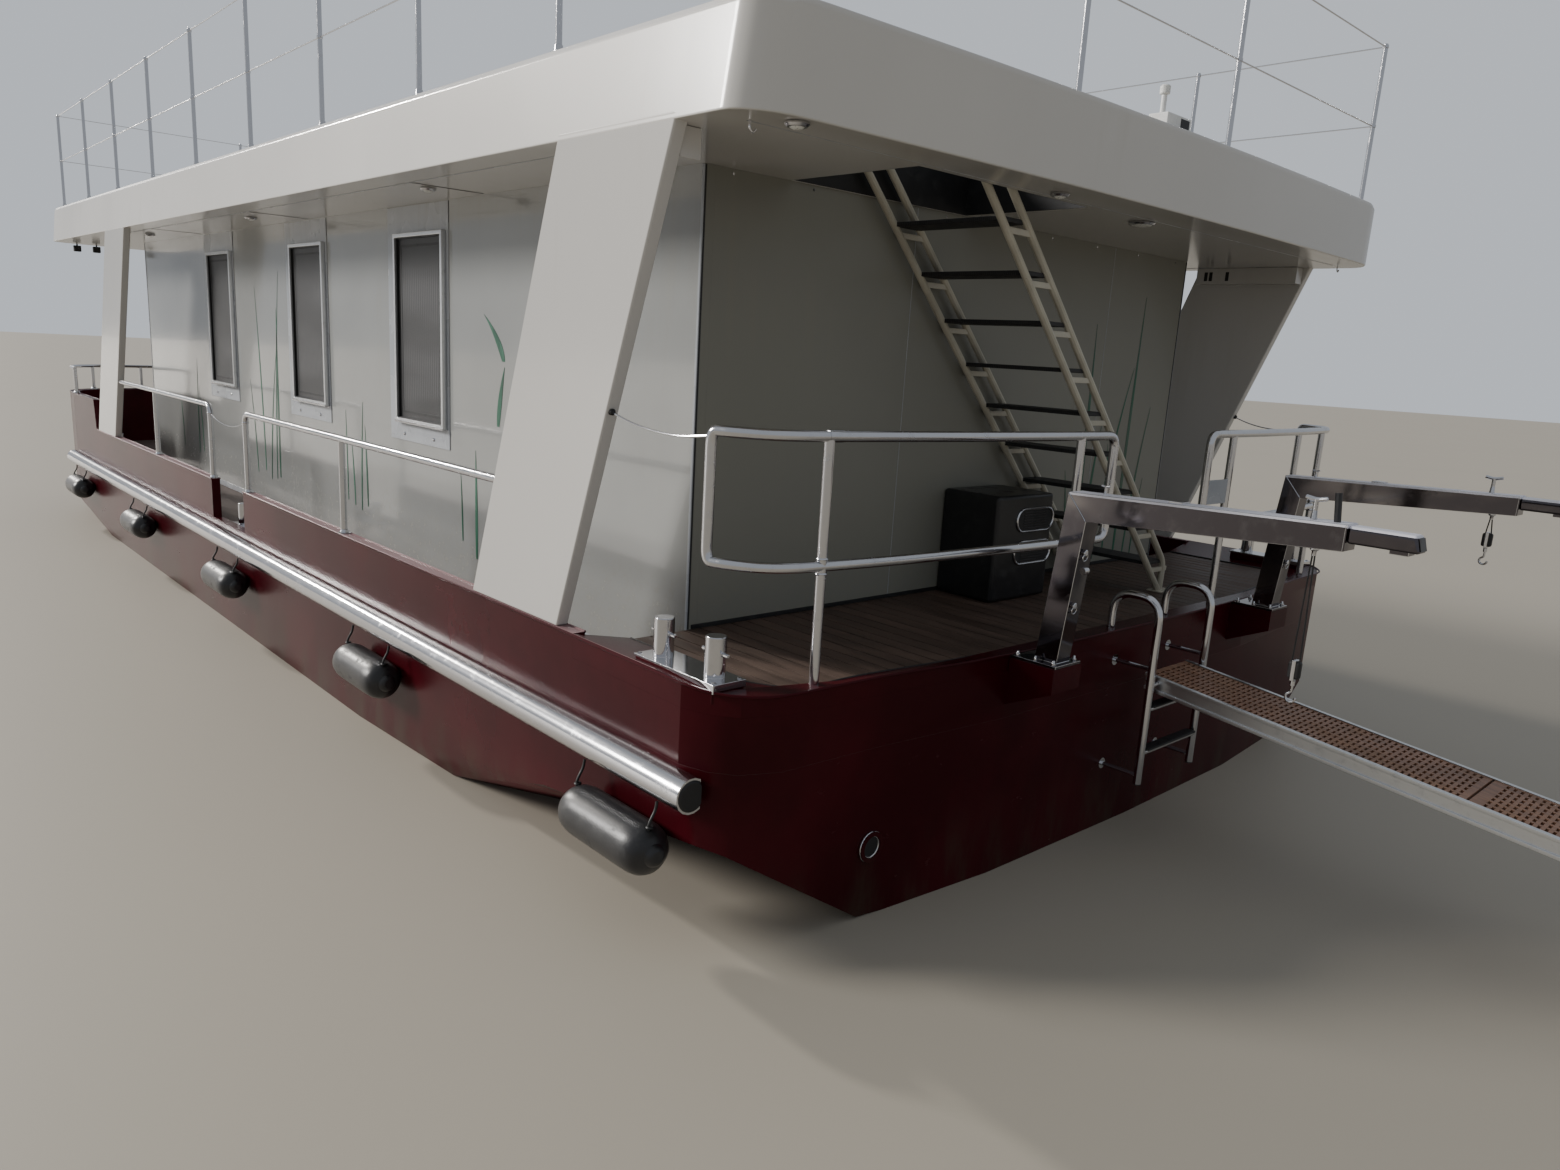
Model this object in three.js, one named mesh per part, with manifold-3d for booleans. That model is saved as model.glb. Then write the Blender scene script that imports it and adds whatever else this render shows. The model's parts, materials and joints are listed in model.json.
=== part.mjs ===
// A steel houseboat with a flat roof deck, slanted roof fins, side walkways and a raised aft deck.
// Millimetres. +X is forward, +Y is port, +Z is up. The origin is the middle of the flat hull bottom.
import * as THREE from "three";
import { mergeVertices } from "three/addons/utils/BufferGeometryUtils.js";
import Module from "manifold-3d";

const wasm = await Module();
wasm.setup();

// Gap left between two solids that touch.
const GAP = 0.3;

// Driving sizes. Stations (X) are measured forward from the roof's aft face, heights from the hull's bottom.
const MIDSHIPS = 6300;
const HALF_BEAM = 2650;
const WALKWAY = 1340;
const DECK = 1600;
const DECK_PLANK = 40;
const CAP = 1665;
const STERN_CAP = 1630;
const BOW_CAP = 1970;
const SOFFIT = 3606;
const ROOF_TOP = 3971;
const CABIN_AFT = 980;
const CABIN_FORE = 10550;
const CABIN_HALF = 2054;
const WALL = 60;
const BULWARK = 60;
const ROOF_FORE = 12060;
const RAIL_Y = HALF_BEAM - BULWARK / 2;
const GATE = { aft: 5420, fore: 6200, sill: 30 };
const BOW_STEP = 10400;
const HATCH = { aft: 240, fore: 975, starboard: 330, port: 1560 };

const COLOUR = {
  hull: 0x5a1a20,
  cream: 0xe4e0d2,
  panel: 0xd5d8c8,
  steel: 0xc6c9cc,
  wood: 0x5b3a2a,
  black: 0x17181a,
  rubber: 0x202124,
  bronze: 0xa8803c,
  grey: 0x6e7174,
};

// Turns a closed geometry into a solid that can be cut and joined.
function solid(geometry) {
  const bare = geometry.clone();
  bare.deleteAttribute("normal");
  bare.deleteAttribute("uv");
  const merged = mergeVertices(bare, 1e-3);
  return new wasm.Manifold(new wasm.Mesh({
    numProp: 3,
    vertProperties: new Float32Array(merged.attributes.position.array),
    triVerts: new Uint32Array(merged.index.array),
  }));
}

function geometryOf(manifold) {
  const mesh = manifold.getMesh();
  const geometry = new THREE.BufferGeometry();
  geometry.setAttribute("position", new THREE.BufferAttribute(new Float32Array(mesh.vertProperties), 3));
  geometry.setIndex(new THREE.BufferAttribute(new Uint32Array(mesh.triVerts), 1));
  return geometry;
}

function join(solids) {
  return solids.reduce((whole, piece) => whole.add(piece));
}

function box(x0, x1, y0, y1, z0, z1) {
  const geometry = new THREE.BoxGeometry(x1 - x0, y1 - y0, z1 - z0);
  geometry.translate((x0 + x1) / 2, (y0 + y1) / 2, (z0 + z1) / 2);
  return solid(geometry);
}

// A prism whose outline is a list of [x, y], between two heights.
function plate(outline, z0, z1) {
  const shape = new THREE.Shape(outline.map(([x, y]) => new THREE.Vector2(x, y)));
  const geometry = new THREE.ExtrudeGeometry(shape, { depth: z1 - z0, bevelEnabled: false });
  geometry.translate(0, 0, z0);
  return solid(geometry);
}

// A prism whose outline is a list of [x, z] seen from the side, between two places across the boat.
function profile(outline, y0, y1) {
  const shape = new THREE.Shape(outline.map(([x, z]) => new THREE.Vector2(x, z)));
  const geometry = new THREE.ExtrudeGeometry(shape, { depth: y1 - y0, bevelEnabled: false });
  geometry.rotateX(Math.PI / 2);
  geometry.translate(0, y1, 0);
  return solid(geometry);
}

// A solid through cross-sections that all have the same number of [x, y, z] points.
function loft(sections) {
  const size = sections[0].length;
  const points = sections.flat().flat();
  const faces = [];
  for (let s = 0; s + 1 < sections.length; s += 1) {
    for (let i = 0; i < size; i += 1) {
      const a = s * size + i;
      const b = s * size + ((i + 1) % size);
      faces.push(a, b, b + size, a, b + size, a + size);
    }
  }
  const last = (sections.length - 1) * size;
  for (let i = 1; i + 1 < size; i += 1) {
    faces.push(0, i + 1, i);
    faces.push(last, last + i, last + i + 1);
  }
  const geometry = new THREE.BufferGeometry();
  geometry.setAttribute("position", new THREE.Float32BufferAttribute(points, 3));
  geometry.setIndex(faces);
  const whole = solid(geometry);
  if (whole.volume() > 0) return whole;
  geometry.setIndex(faces.reverse());
  return solid(geometry);
}

// A round bar through a list of [x, y, z] points, mitred at each bend.
function bar(route, radius, sides = 8) {
  const points = route.map((p) => new THREE.Vector3(...p));
  const closing = points.length - 1;
  const runs = points.slice(1).map((p, i) => p.clone().sub(points[i]).normalize());
  const start = Math.abs(runs[0].z) > 0.9 ? new THREE.Vector3(1, 0, 0) : new THREE.Vector3(0, 0, 1);
  let side = start.sub(runs[0].clone().multiplyScalar(start.dot(runs[0]))).normalize();
  let ring = [];
  for (let i = 0; i < sides; i += 1) {
    const angle = ((i + 0.5) / sides) * 2 * Math.PI;
    const across = new THREE.Vector3().crossVectors(runs[0], side);
    const offset = side.clone().multiplyScalar(Math.cos(angle)).addScaledVector(across, Math.sin(angle));
    ring.push(points[0].clone().addScaledVector(offset, radius));
  }
  const rings = [ring.map((p) => p.toArray())];
  for (let s = 1; s <= closing; s += 1) {
    const run = runs[s - 1];
    const next = runs[Math.min(s, closing - 1)];
    const plane = run.clone().add(next).normalize();
    ring = ring.map((p) => {
      const reach = points[s].clone().sub(p).dot(plane) / run.dot(plane);
      return p.clone().addScaledVector(run, reach);
    });
    rings.push(ring.map((p) => p.toArray()));
  }
  return loft(rings);
}

// A quarter bend between two runs, as points for a bar. The corner is rounded by a radius.
function rounded(before, corner, after, radius, steps = 4) {
  const c = new THREE.Vector3(...corner);
  const p = new THREE.Vector3(...before).sub(c).normalize().multiplyScalar(radius).add(c);
  const q = new THREE.Vector3(...after).sub(c).normalize().multiplyScalar(radius).add(c);
  const curve = new THREE.QuadraticBezierCurve3(p, c, q);
  return curve.getPoints(steps).map((v) => v.toArray());
}

// A lathe solid about an axis. The profile is a list of [radius, along] that starts and ends on the axis.
function turned(outline, sides, place, axis = "z") {
  const points = outline.map(([r, a]) => new THREE.Vector2(r, a));
  const geometry = new THREE.LatheGeometry(points, sides);
  if (axis === "z") geometry.rotateX(Math.PI / 2);
  if (axis === "x") geometry.rotateZ(-Math.PI / 2);
  geometry.translate(...place);
  return solid(geometry);
}

function mirrored(manifold) {
  return manifold.mirror([0, 1, 0]);
}

const model = new THREE.Group();
model.position.x = -MIDSHIPS;

function add(name, manifold, colour, roughness = 0.4, metalness = 0) {
  const material = new THREE.MeshStandardMaterial({ color: colour, roughness, metalness });
  const mesh = new THREE.Mesh(geometryOf(manifold), material);
  mesh.name = name;
  model.add(mesh);
}

function addPair(stem, manifold, colour, roughness, metalness) {
  add(`${stem}_port`, manifold, colour, roughness, metalness);
  add(`${stem}_starboard`, mirrored(manifold), colour, roughness, metalness);
}

// Deck outline on the port side, from the transom's middle to the bow's middle.
const STERN_PLAN = [
  [-165, 0],
  [-145, 1150],
  [-75, 1900],
  [-52, 2380],
  [15, 2540],
  [110, 2615],
  [230, HALF_BEAM],
];
// The bow is a quarter of a squared oval. Its rail stands on posts at some of the outline's points.
const BOW = { start: 11500, reach: 1180, power: 2 / 3, steps: 8, posts: [0, 3, 5, 7] };
const BOW_PLAN = Array.from({ length: BOW.steps + 1 }, (_, step) => {
  const turn = (step / BOW.steps) * (Math.PI / 2);
  const across = Math.max(0, Math.cos(turn)) ** BOW.power;
  return [BOW.start + BOW.reach * Math.sin(turn) ** BOW.power, step < BOW.steps ? HALF_BEAM * across : 0];
});
// The planked deck's edge on the port side, from the middle aft to the cabin's wall.
const PLANK_PLAN = [
  [-35, 0],
  [-20, 1150],
  [50, 1880],
  [52, 2150],
  [110, 2265],
  [270, 2360],
  [CABIN_AFT, 2360],
];

// A whole outline from its port side, counter-clockwise, drawn in by an inset on every side.
function outlineOf(plan, inset = 0) {
  const drawn = plan.map(([x, y]) => {
    const fromMiddle = Math.max(0, y - inset);
    const along = x < MIDSHIPS ? Math.max(x, x + inset) : x - inset;
    return [along, fromMiddle];
  });
  const starboard = drawn.filter(([, y]) => y > 0).map(([x, y]) => [x, -y]);
  return [...drawn.reverse(), ...starboard];
}
const hullOutline = (inset = 0) => outlineOf([...STERN_PLAN, ...BOW_PLAN], inset);

// Hull frames: station, knuckle height, bilge half breadth and height, bottom half breadth and height.
const FRAMES = [
  { x: -200, knuckle: 1100, bilgeY: 1920, bilgeZ: 610, bottomY: 1300, bottomZ: 560 },
  { x: 1200, knuckle: 920, bilgeY: 2080, bilgeZ: 600, bottomY: 1300, bottomZ: 560 },
  { x: 3400, knuckle: 620, bilgeY: 2520, bilgeZ: 220, bottomY: 2100, bottomZ: 0 },
  { x: 10000, knuckle: 620, bilgeY: 2520, bilgeZ: 220, bottomY: 2100, bottomZ: 0 },
  { x: 11600, knuckle: 800, bilgeY: 2420, bilgeZ: 420, bottomY: 1900, bottomZ: 260 },
  { x: 12800, knuckle: 1150, bilgeY: 2400, bilgeZ: 980, bottomY: 1700, bottomZ: 850 },
];
const ENGINE = { aft: 130, fore: 900, half: 300, bottom: 660, top: 1300 };
const SHAFT = { z: 290, radius: 22, propeller: 950, hub: 60 };
const OUTLET = { y: 1885, z: 911, radius: 66, bore: 48, proud: 14, depth: 60 };
const RUDDER = { x: 420, chord: 460, lead: 120, thick: 34, bottom: 70, top: 540, stock: 25 };

function makeHull() {
  const frames = FRAMES.map(({ x, knuckle, bilgeY, bilgeZ, bottomY, bottomZ }) => {
    const half = [
      [HALF_BEAM + 10, WALKWAY],
      [HALF_BEAM + 10, knuckle],
      [bilgeY, bilgeZ],
      [bottomY, bottomZ],
    ];
    const other = half.map(([y, z]) => [-y, z]).reverse();
    return [...half, ...other].map(([y, z]) => [x, y, z]);
  });
  const body = loft(frames).intersect(plate(hullOutline(), -10, WALKWAY + 10));
  const room = 20;
  const pocket = box(ENGINE.aft - room, ENGINE.fore + room, -ENGINE.half - room, ENGINE.half + room,
    ENGINE.bottom - GAP, WALKWAY + 10);
  const tube = bar([[SHAFT.propeller + 160, 0, SHAFT.z], [2600, 0, SHAFT.z]], 55, 12);
  const strut = profile([
    [SHAFT.propeller + 170, SHAFT.z],
    [SHAFT.propeller + 330, SHAFT.z],
    [SHAFT.propeller + 420, 620],
    [SHAFT.propeller + 220, 620],
  ], -15, 15);
  const shaft = [[SHAFT.propeller, 0, SHAFT.z], [SHAFT.propeller + 400, 0, SHAFT.z]];
  const shaftBore = bar(shaft, SHAFT.radius + 1, 16);
  const stockBore = bar([[RUDDER.x, 0, 500], [RUDDER.x, 0, 640]], RUDDER.stock + 1, 16);
  const face = sternFace(OUTLET.y);
  const outlet = (from, to, radius) => bar(
    [[face + from, OUTLET.y, OUTLET.z], [face + to, OUTLET.y, OUTLET.z]], radius, 24,
  );
  return body
    .subtract(pocket)
    .add(strut)
    .add(tube)
    .add(outlet(-OUTLET.proud, 40, OUTLET.radius))
    .subtract(outlet(-50, OUTLET.depth, OUTLET.bore))
    .subtract(shaftBore)
    .subtract(stockBore);
}

// The transom's station at a place across the boat.
function sternFace(y) {
  const after = STERN_PLAN.findIndex(([, across]) => across > Math.abs(y));
  const [x0, y0] = STERN_PLAN[after - 1];
  const [x1, y1] = STERN_PLAN[after];
  return x0 + ((x1 - x0) * (Math.abs(y) - y0)) / (y1 - y0);
}

// Horns: welded brackets on the transom that carry the davits.
const HORN = { aft: -375, step: -150, top: 1620, tip: 110, half: 105 };

function makeAftPlatform() {
  const body = plate(hullOutline(), WALKWAY + GAP, DECK - DECK_PLANK);
  const aft = box(-1000, CABIN_AFT - GAP, -HALF_BEAM - 100, HALF_BEAM + 100, 0, DECK + 100);
  const horns = [1, -1].map((side) => {
    const horn = profile([
      [HORN.aft, HORN.top],
      [HORN.aft, HORN.top - HORN.tip],
      [0, WALKWAY + GAP],
      [0, DECK - DECK_PLANK],
      [HORN.step, DECK - DECK_PLANK],
      [HORN.step, HORN.top],
    ], -HORN.half, HORN.half);
    return horn.translate([0, side * DAVIT.y, 0]);
  });
  return join([body.intersect(aft), ...horns]);
}

function makeAftDeck() {
  const planks = plate(outlineOf(PLANK_PLAN, GAP), DECK - DECK_PLANK + GAP, DECK);
  return planks.intersect(box(-1000, CABIN_AFT - GAP, -HALF_BEAM, HALF_BEAM, 0, DECK + 100));
}

// The rim's top falls from the bulwark's height to the transom's.
const RIM = { fall: 400, aft: STERN_PLAN[0][0] };

function capAt(x) {
  const part = (x - RIM.aft) / (RIM.fall - RIM.aft);
  return STERN_CAP + (CAP - STERN_CAP) * Math.min(1, Math.max(0, part));
}

// The painted margin round the planked deck, from the cabin's wall on one side to the other.
function makeSternRim() {
  const half = HALF_BEAM + 100;
  const top = profile([
    [RIM.aft - 100, DECK - DECK_PLANK + GAP],
    [CABIN_AFT - GAP, DECK - DECK_PLANK + GAP],
    [CABIN_AFT - GAP, CAP],
    [RIM.fall, CAP],
    [RIM.aft, STERN_CAP],
    [RIM.aft - 100, STERN_CAP],
  ], -half, half);
  return plate(hullOutline(), 0, 3000).intersect(top).subtract(plate(outlineOf(PLANK_PLAN), 0, 3000));
}

function makeBulwark() {
  const top = [
    [CABIN_AFT, WALKWAY + GAP],
    [BOW.start - GAP, WALKWAY + GAP],
    [BOW.start - GAP, BOW_CAP],
    [BOW_STEP, BOW_CAP],
    [BOW_STEP - 60, CAP],
    [GATE.fore, CAP],
    [GATE.fore, WALKWAY + GATE.sill],
    [GATE.aft, WALKWAY + GATE.sill],
    [GATE.aft, CAP],
    [CABIN_AFT, CAP],
  ];
  return profile(top, HALF_BEAM - BULWARK, HALF_BEAM);
}

function makeBowBulwark() {
  const whole = plate(hullOutline(), WALKWAY + GAP, BOW_CAP);
  const ring = whole.subtract(plate(hullOutline(BULWARK), 0, BOW_CAP + 100));
  return ring.intersect(box(BOW.start, 13000, -3000, 3000, 0, 3000));
}

const RUB = { z: 1269, radius: 70, proud: 40, aft: 90, fore: 11480, bore: 60, depth: 60 };

// A length of the rub rail's round, along the hull's side.
function rubBar(from, to, radius) {
  const y = HALF_BEAM + RUB.proud;
  return bar([[from, y, RUB.z], [to, y, RUB.z]], radius, 16);
}

function makeRubRail() {
  const end = rubBar(RUB.aft - 10, RUB.aft + RUB.depth, RUB.bore);
  const side = box(-1000, 13000, 0, HALF_BEAM + GAP, 0, 3000);
  return rubBar(RUB.aft, RUB.fore, RUB.radius).subtract(side).subtract(end);
}

const FENDER = { stations: [500, 2950, 5600, 8250, 10900], length: 620, radius: 105, z: 1005 };

function makeFender(x) {
  const half = FENDER.length / 2;
  const outline = [
    [0, -half],
    [FENDER.radius * 0.45, -half],
    [FENDER.radius * 0.86, -half + 45],
    [FENDER.radius, -half + 110],
    [FENDER.radius, half - 110],
    [FENDER.radius * 0.86, half - 45],
    [FENDER.radius * 0.45, half],
    [0, half],
  ];
  const body = turned(outline, 12, [x, HALF_BEAM + FENDER.radius + GAP, FENDER.z], "x");
  const lanyardX = half - 60;
  const lanyards = [-lanyardX, lanyardX].map((dx) => bar([
    [x + dx, HALF_BEAM + FENDER.radius, FENDER.z],
    [x + dx, HALF_BEAM + RUB.proud + 25, RUB.z - RUB.radius + 5],
  ], 7, 4));
  return join([body, ...lanyards]).subtract(rubBar(RUB.aft, RUB.fore, RUB.radius + GAP));
}

// Side windows: middle station of each, with one size for all.
const WINDOWS = [3790, 5720, 7910];
const WINDOW = { width: 660, bottom: 2316, top: 3404 };

function makeSideWall() {
  const wall = box(CABIN_AFT, CABIN_FORE, CABIN_HALF - WALL, CABIN_HALF, WALKWAY + GAP, SOFFIT - GAP);
  const holes = WINDOWS.map((x) => box(
    x - WINDOW.width / 2, x + WINDOW.width / 2, 0, HALF_BEAM, WINDOW.bottom, WINDOW.top,
  ));
  return holes.reduce((whole, hole) => whole.subtract(hole), wall);
}

function makeAftWall() {
  const half = CABIN_HALF - WALL - GAP;
  return box(CABIN_AFT, CABIN_AFT + WALL, -half, half, WALKWAY + GAP, SOFFIT - GAP);
}

const DOORWAY = { half: 420, top: 3350, sill: 60 };
const TRACK = { length: 1880, height: 70, overlap: 40 };

function makeFrontWall() {
  const half = CABIN_HALF - WALL - GAP;
  const wall = box(CABIN_FORE - WALL, CABIN_FORE, -half, half, WALKWAY + GAP, SOFFIT - GAP);
  const doorway = box(CABIN_FORE - 200, CABIN_FORE + 200, -DOORWAY.half, DOORWAY.half, WALKWAY + DOORWAY.sill,
    DOORWAY.top);
  const lights = [-1400, 1400].map((y) => box(
    CABIN_FORE - 200, CABIN_FORE + 200, y - 330, y + 330, WINDOW.bottom, WINDOW.top,
  ));
  const start = -DOORWAY.half - TRACK.overlap - 10;
  const rail = box(CABIN_FORE - 1, CABIN_FORE + DOOR.gap + DOOR.thick + 20, start, start + TRACK.length,
    DOORWAY.top + 60, DOORWAY.top + 60 + TRACK.height);
  return wall.subtract(doorway).subtract(lights[0]).subtract(lights[1]).add(rail);
}
const DOOR = { gap: 6, thick: 40 };

function makeFrontDoor() {
  const x0 = CABIN_FORE + DOOR.gap;
  const reach = DOORWAY.half + TRACK.overlap;
  const leaf = box(x0, x0 + DOOR.thick, -reach, reach, WALKWAY + 30, DOORWAY.top + 60 - GAP);
  const pane = box(x0 - 1, x0 + 14, -reach + 90, reach - 90, WALKWAY + 160, DOORWAY.top - 60);
  return leaf.subtract(pane);
}

// The roof's aft face is bowed, its aft corners are quarters of ovals and its fore corners are round.
const ROOF = { bow: 50, along: 150, across: 260, foreCorner: 140, steps: 6 };

// The roof's outline on the port side, from the middle of its aft face to its fore face.
function roofPlan() {
  const { bow, along, across, foreCorner, steps } = ROOF;
  const turns = Array.from({ length: steps + 1 }, (_, step) => (step / steps) * (Math.PI / 2));
  const face = HALF_BEAM - across;
  return [
    ...[0, 1 / 3, 2 / 3].map((part) => [bow * (part ** 2 - 1), face * part]),
    ...turns.map((turn) => [along * (1 - Math.cos(turn)), face + across * Math.sin(turn)]),
    ...turns.map((turn) => [
      ROOF_FORE - foreCorner * (1 - Math.sin(turn)), HALF_BEAM - foreCorner * (1 - Math.cos(turn)),
    ]),
  ];
}

// The whole outline at one height, with its aft and fore ends shifted and its sides drawn in.
function roofRing(aft, fore, inset, z) {
  const port = roofPlan().map(([x, y]) => [x + (x < MIDSHIPS ? aft : fore), Math.max(0, y - inset), z]);
  const starboard = port.filter(([, y]) => y > 0).map(([x, y]) => [x, -y, z]);
  return [...port, ...starboard.toReversed()];
}

function makeRoof() {
  const slab = loft([
    roofRing(0, 0, 0, SOFFIT),
    roofRing(-15, 40, 40, ROOF_TOP - 30),
    roofRing(-5, 30, 65, ROOF_TOP),
  ]);
  const raised = box(ROOF_DECK.aft, ROOF_DECK.fore, -ROOF_DECK.half, ROOF_DECK.half,
    ROOF_TOP - 5, ROOF_TOP + ROOF_DECK.height);
  return slab.add(raised).subtract(box(HATCH.aft, HATCH.fore, HATCH.starboard, HATCH.port, 0, 5000));
}

// The roof's walking surface stands a little above its margin.
const ROOF_DECK = { aft: 200, fore: 11690, half: 2450, height: 15 };

// Slanted fins between the bulwark and the soffit: foot and head stations of the aft edge.
const FINS = [
  { name: "fin_aft", foot: 1115, head: 390 },
  { name: "fin_fore", foot: 9510, head: 8540 },
];
const FIN = { width: 770, thick: 60 };

function makeFin({ foot, head }) {
  return profile([
    [foot, CAP + GAP],
    [foot + FIN.width, CAP + GAP],
    [head + FIN.width, SOFFIT - GAP],
    [head, SOFFIT - GAP],
  ], HALF_BEAM - FIN.thick, HALF_BEAM - 2);
}

const STANCHION = {
  height: 960, radius: 14, y: 2540, across: 700, wire: 4, mid: 480,
  first: 120, second: 1336, pitch: 1306, count: 10,
};

// A row of stanchions with two taut wires through them. Each foot is a [x, y] place on the roof.
function makeRoofRail(feet, ends) {
  const foot = ROOF_TOP + GAP;
  const head = foot + STANCHION.height;
  const posts = feet.map(([x, y]) => bar([[x, y, foot], [x, y, head]], STANCHION.radius, 6));
  const wires = [STANCHION.mid, STANCHION.height - 20].map((height) => bar(
    ends.map(([x, y]) => [x, y, foot + height]), STANCHION.wire, 4,
  ));
  return join([...posts, ...wires]);
}

const RAIL = { radius: 21, side: 2220, stern: 2571, sternLow: 2093, bow: 2240 };

// A rail along the side: a top tube with posts.
// It bends down into a post at one end and butts on a fin at the other.
function makeSideRail({ post, fin, between }) {
  const bend = 90;
  const foot = CAP + GAP;
  const top = RAIL.side;
  const route = [
    [post, RAIL_Y, foot],
    ...rounded([post, RAIL_Y, foot], [post, RAIL_Y, top], [fin, RAIL_Y, top], bend),
    [fin, RAIL_Y, top],
  ];
  const posts = between.map((x) => bar([[x, RAIL_Y, foot], [x, RAIL_Y, top]], RAIL.radius - 2));
  return join([bar(route, RAIL.radius), ...posts]);
}

const SIDE_RAILS = [
  { stem: "side_rail_aft", post: 5390, fin: finEdge(FINS[0], FIN.width, 1), between: [3580] },
  { stem: "side_rail_fore", post: 6250, fin: finEdge(FINS[1], 0, -1), between: [7930] },
];

// The station where a side rail ends against a fin's fore edge (side 1) or aft edge (side -1).
function finEdge({ foot, head }, width, side) {
  const up = (RAIL.side - side * RAIL.radius - CAP) / (SOFFIT - CAP);
  return foot + width + (head - foot) * up + side * GAP;
}

// The stern rail follows the corner of the hull: a closed loop at each end, and a post near each loop.
const STERN_RAIL = { end: 470, post: 740 };
const STERN_CURVE = [
  [266, 2530],
  [180, 2500],
  [77, 2431],
  [20, 2330],
  [-5, 2201],
  [-54, 1819],
  [-98, 1232],
  [-120, STERN_RAIL.post],
  [-126, STERN_RAIL.end],
];
function makeSternRail() {
  const high = STERN_CURVE.map(([x, y]) => [x, y, RAIL.stern]);
  const low = STERN_CURVE.map(([x, y]) => [x, y, RAIL.sternLow]);
  const route = [...high, ...low.reverse()];
  const standing = [STERN_CURVE[4], STERN_CURVE[7]].map(([x, y]) => bar([
    [x, y, capAt(x + RAIL.radius) + GAP],
    [x, y, RAIL.stern],
  ], RAIL.radius - 1));
  return join([bar(route, RAIL.radius), bar([high[0], low.at(-1)], RAIL.radius - 1), ...standing]);
}

function makeBowRail() {
  const foot = BOW_CAP + GAP;
  const inset = BULWARK / 2;
  const port = BOW_PLAN.slice(0, -1).map(([x, y]) => [x - inset, y - inset]);
  const starboard = port.map(([x, y]) => [x, -y]);
  const ring = [...port, ...starboard.toReversed()];
  const rail = bar(ring.map(([x, y]) => [x, y, RAIL.bow]), RAIL.radius - 3);
  const feet = BOW.posts.flatMap((place) => [port[place], starboard[place]]);
  const posts = feet.map(([x, y]) => bar([[x, y, foot], [x, y, RAIL.bow]], RAIL.radius - 2));
  return join([rail, ...posts]);
}

const STAIR = {
  aft: 300, fore: 935, tube: 19, slope: 0.985, startY: -1130, spread: 185,
  first: 180, pitch: 214, treads: 9, tie: 45, top: 2330,
};

// The roof stair: two side frames of paired tubes with short ties, and flat treads between the frames.
function makeStair() {
  const base = DECK + GAP;
  const front = (z) => STAIR.startY + STAIR.slope * z;
  const pieces = [];
  for (const x of [STAIR.aft, STAIR.fore]) {
    const bendZ = 170;
    pieces.push(bar([
      [x, front(bendZ) + 10, base - 20],
      [x, front(bendZ), base + bendZ],
      [x, front(STAIR.top), base + STAIR.top],
    ], STAIR.tube, 6));
    pieces.push(bar([
      [x, front(-30) + STAIR.spread, base - 30],
      [x, front(STAIR.top) + STAIR.spread, base + STAIR.top],
    ], STAIR.tube, 6));
    pieces.push(box(x - 45, x + 45, front(0) + 95, front(0) + 235, base, base + 8));
    for (let i = 0; i < STAIR.treads; i += 1) {
      const z = STAIR.first + i * STAIR.pitch - STAIR.tie;
      pieces.push(bar([[x, front(z), base + z], [x, front(z) + STAIR.spread, base + z]], STAIR.tube - 5, 4));
    }
  }
  for (let i = 0; i < STAIR.treads; i += 1) {
    const z = STAIR.first + i * STAIR.pitch;
    const y = front(z);
    pieces.push(box(STAIR.aft, STAIR.fore, y, y + STAIR.spread, base + z - 12, base + z + 12));
  }
  return join(pieces).intersect(box(-100, CABIN_AFT, -2000, 2000, base, 5000));
}

// Davit: a leaning post with a mitred arm of box section, and a lighter tube that runs out of the arm.
const DAVIT = {
  y: 1050,
  half: 50,
  plate: { aft: -375, fore: -150, half: 95, thick: 12 },
  foot: { aft: -347, fore: -237 },
  elbow: { under: [-408, 2252], over: [-313, 2364] },
  end: { under: [-1398, 2302], over: [-1398, 2396] },
  tube: { tip: -1612, half: 34, bottom: 2334, top: 2386 },
  head: { aft: -1596, fore: -1536, half: 30, bottom: 2318 },
};

function makeDavit() {
  const base = HORN.top + GAP;
  const { plate: pad, foot, elbow, end, tube, head } = DAVIT;
  const footPlate = box(pad.aft, pad.fore - GAP, -pad.half, pad.half, base, base + pad.thick);
  const arm = profile([
    [foot.fore, base + 5],
    [foot.aft, base + 5],
    elbow.under,
    end.under,
    end.over,
    elbow.over,
  ], -DAVIT.half, DAVIT.half);
  const inner = box(tube.tip, end.over[0] + 20, -tube.half, tube.half, tube.bottom, tube.top);
  const eye = box(head.aft, head.fore, -head.half, head.half, head.bottom, tube.bottom + 5);
  return join([footPlate, arm, inner, eye]);
}

// Boarding ladder: two hoops over the transom that go down outside it as the ladder's rails.
const LADDER = {
  sides: [280, -240], tube: 19, aft: -360, inboard: -115, top: 1820, bend: 90, foot: 900,
  rungs: [1280, 1060], rung: 16, ties: [1480, 940], tie: 12,
};
// Gangway: two channels with boards between them, on a pin between the ladder's rails.
const PLANK = {
  root: -300, joint: -1700, tip: -3560, drop: 0.115, port: 230, starboard: -190, z: 1420,
  side: 24, up: 24, down: 58, groove: 12, grooveUp: 8, grooveDown: 42, board: 20, cross: 30, crossDown: 45,
  crosses: [-900, -1700, -2640, -3510], pin: 12, pinDrop: 20,
};

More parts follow.
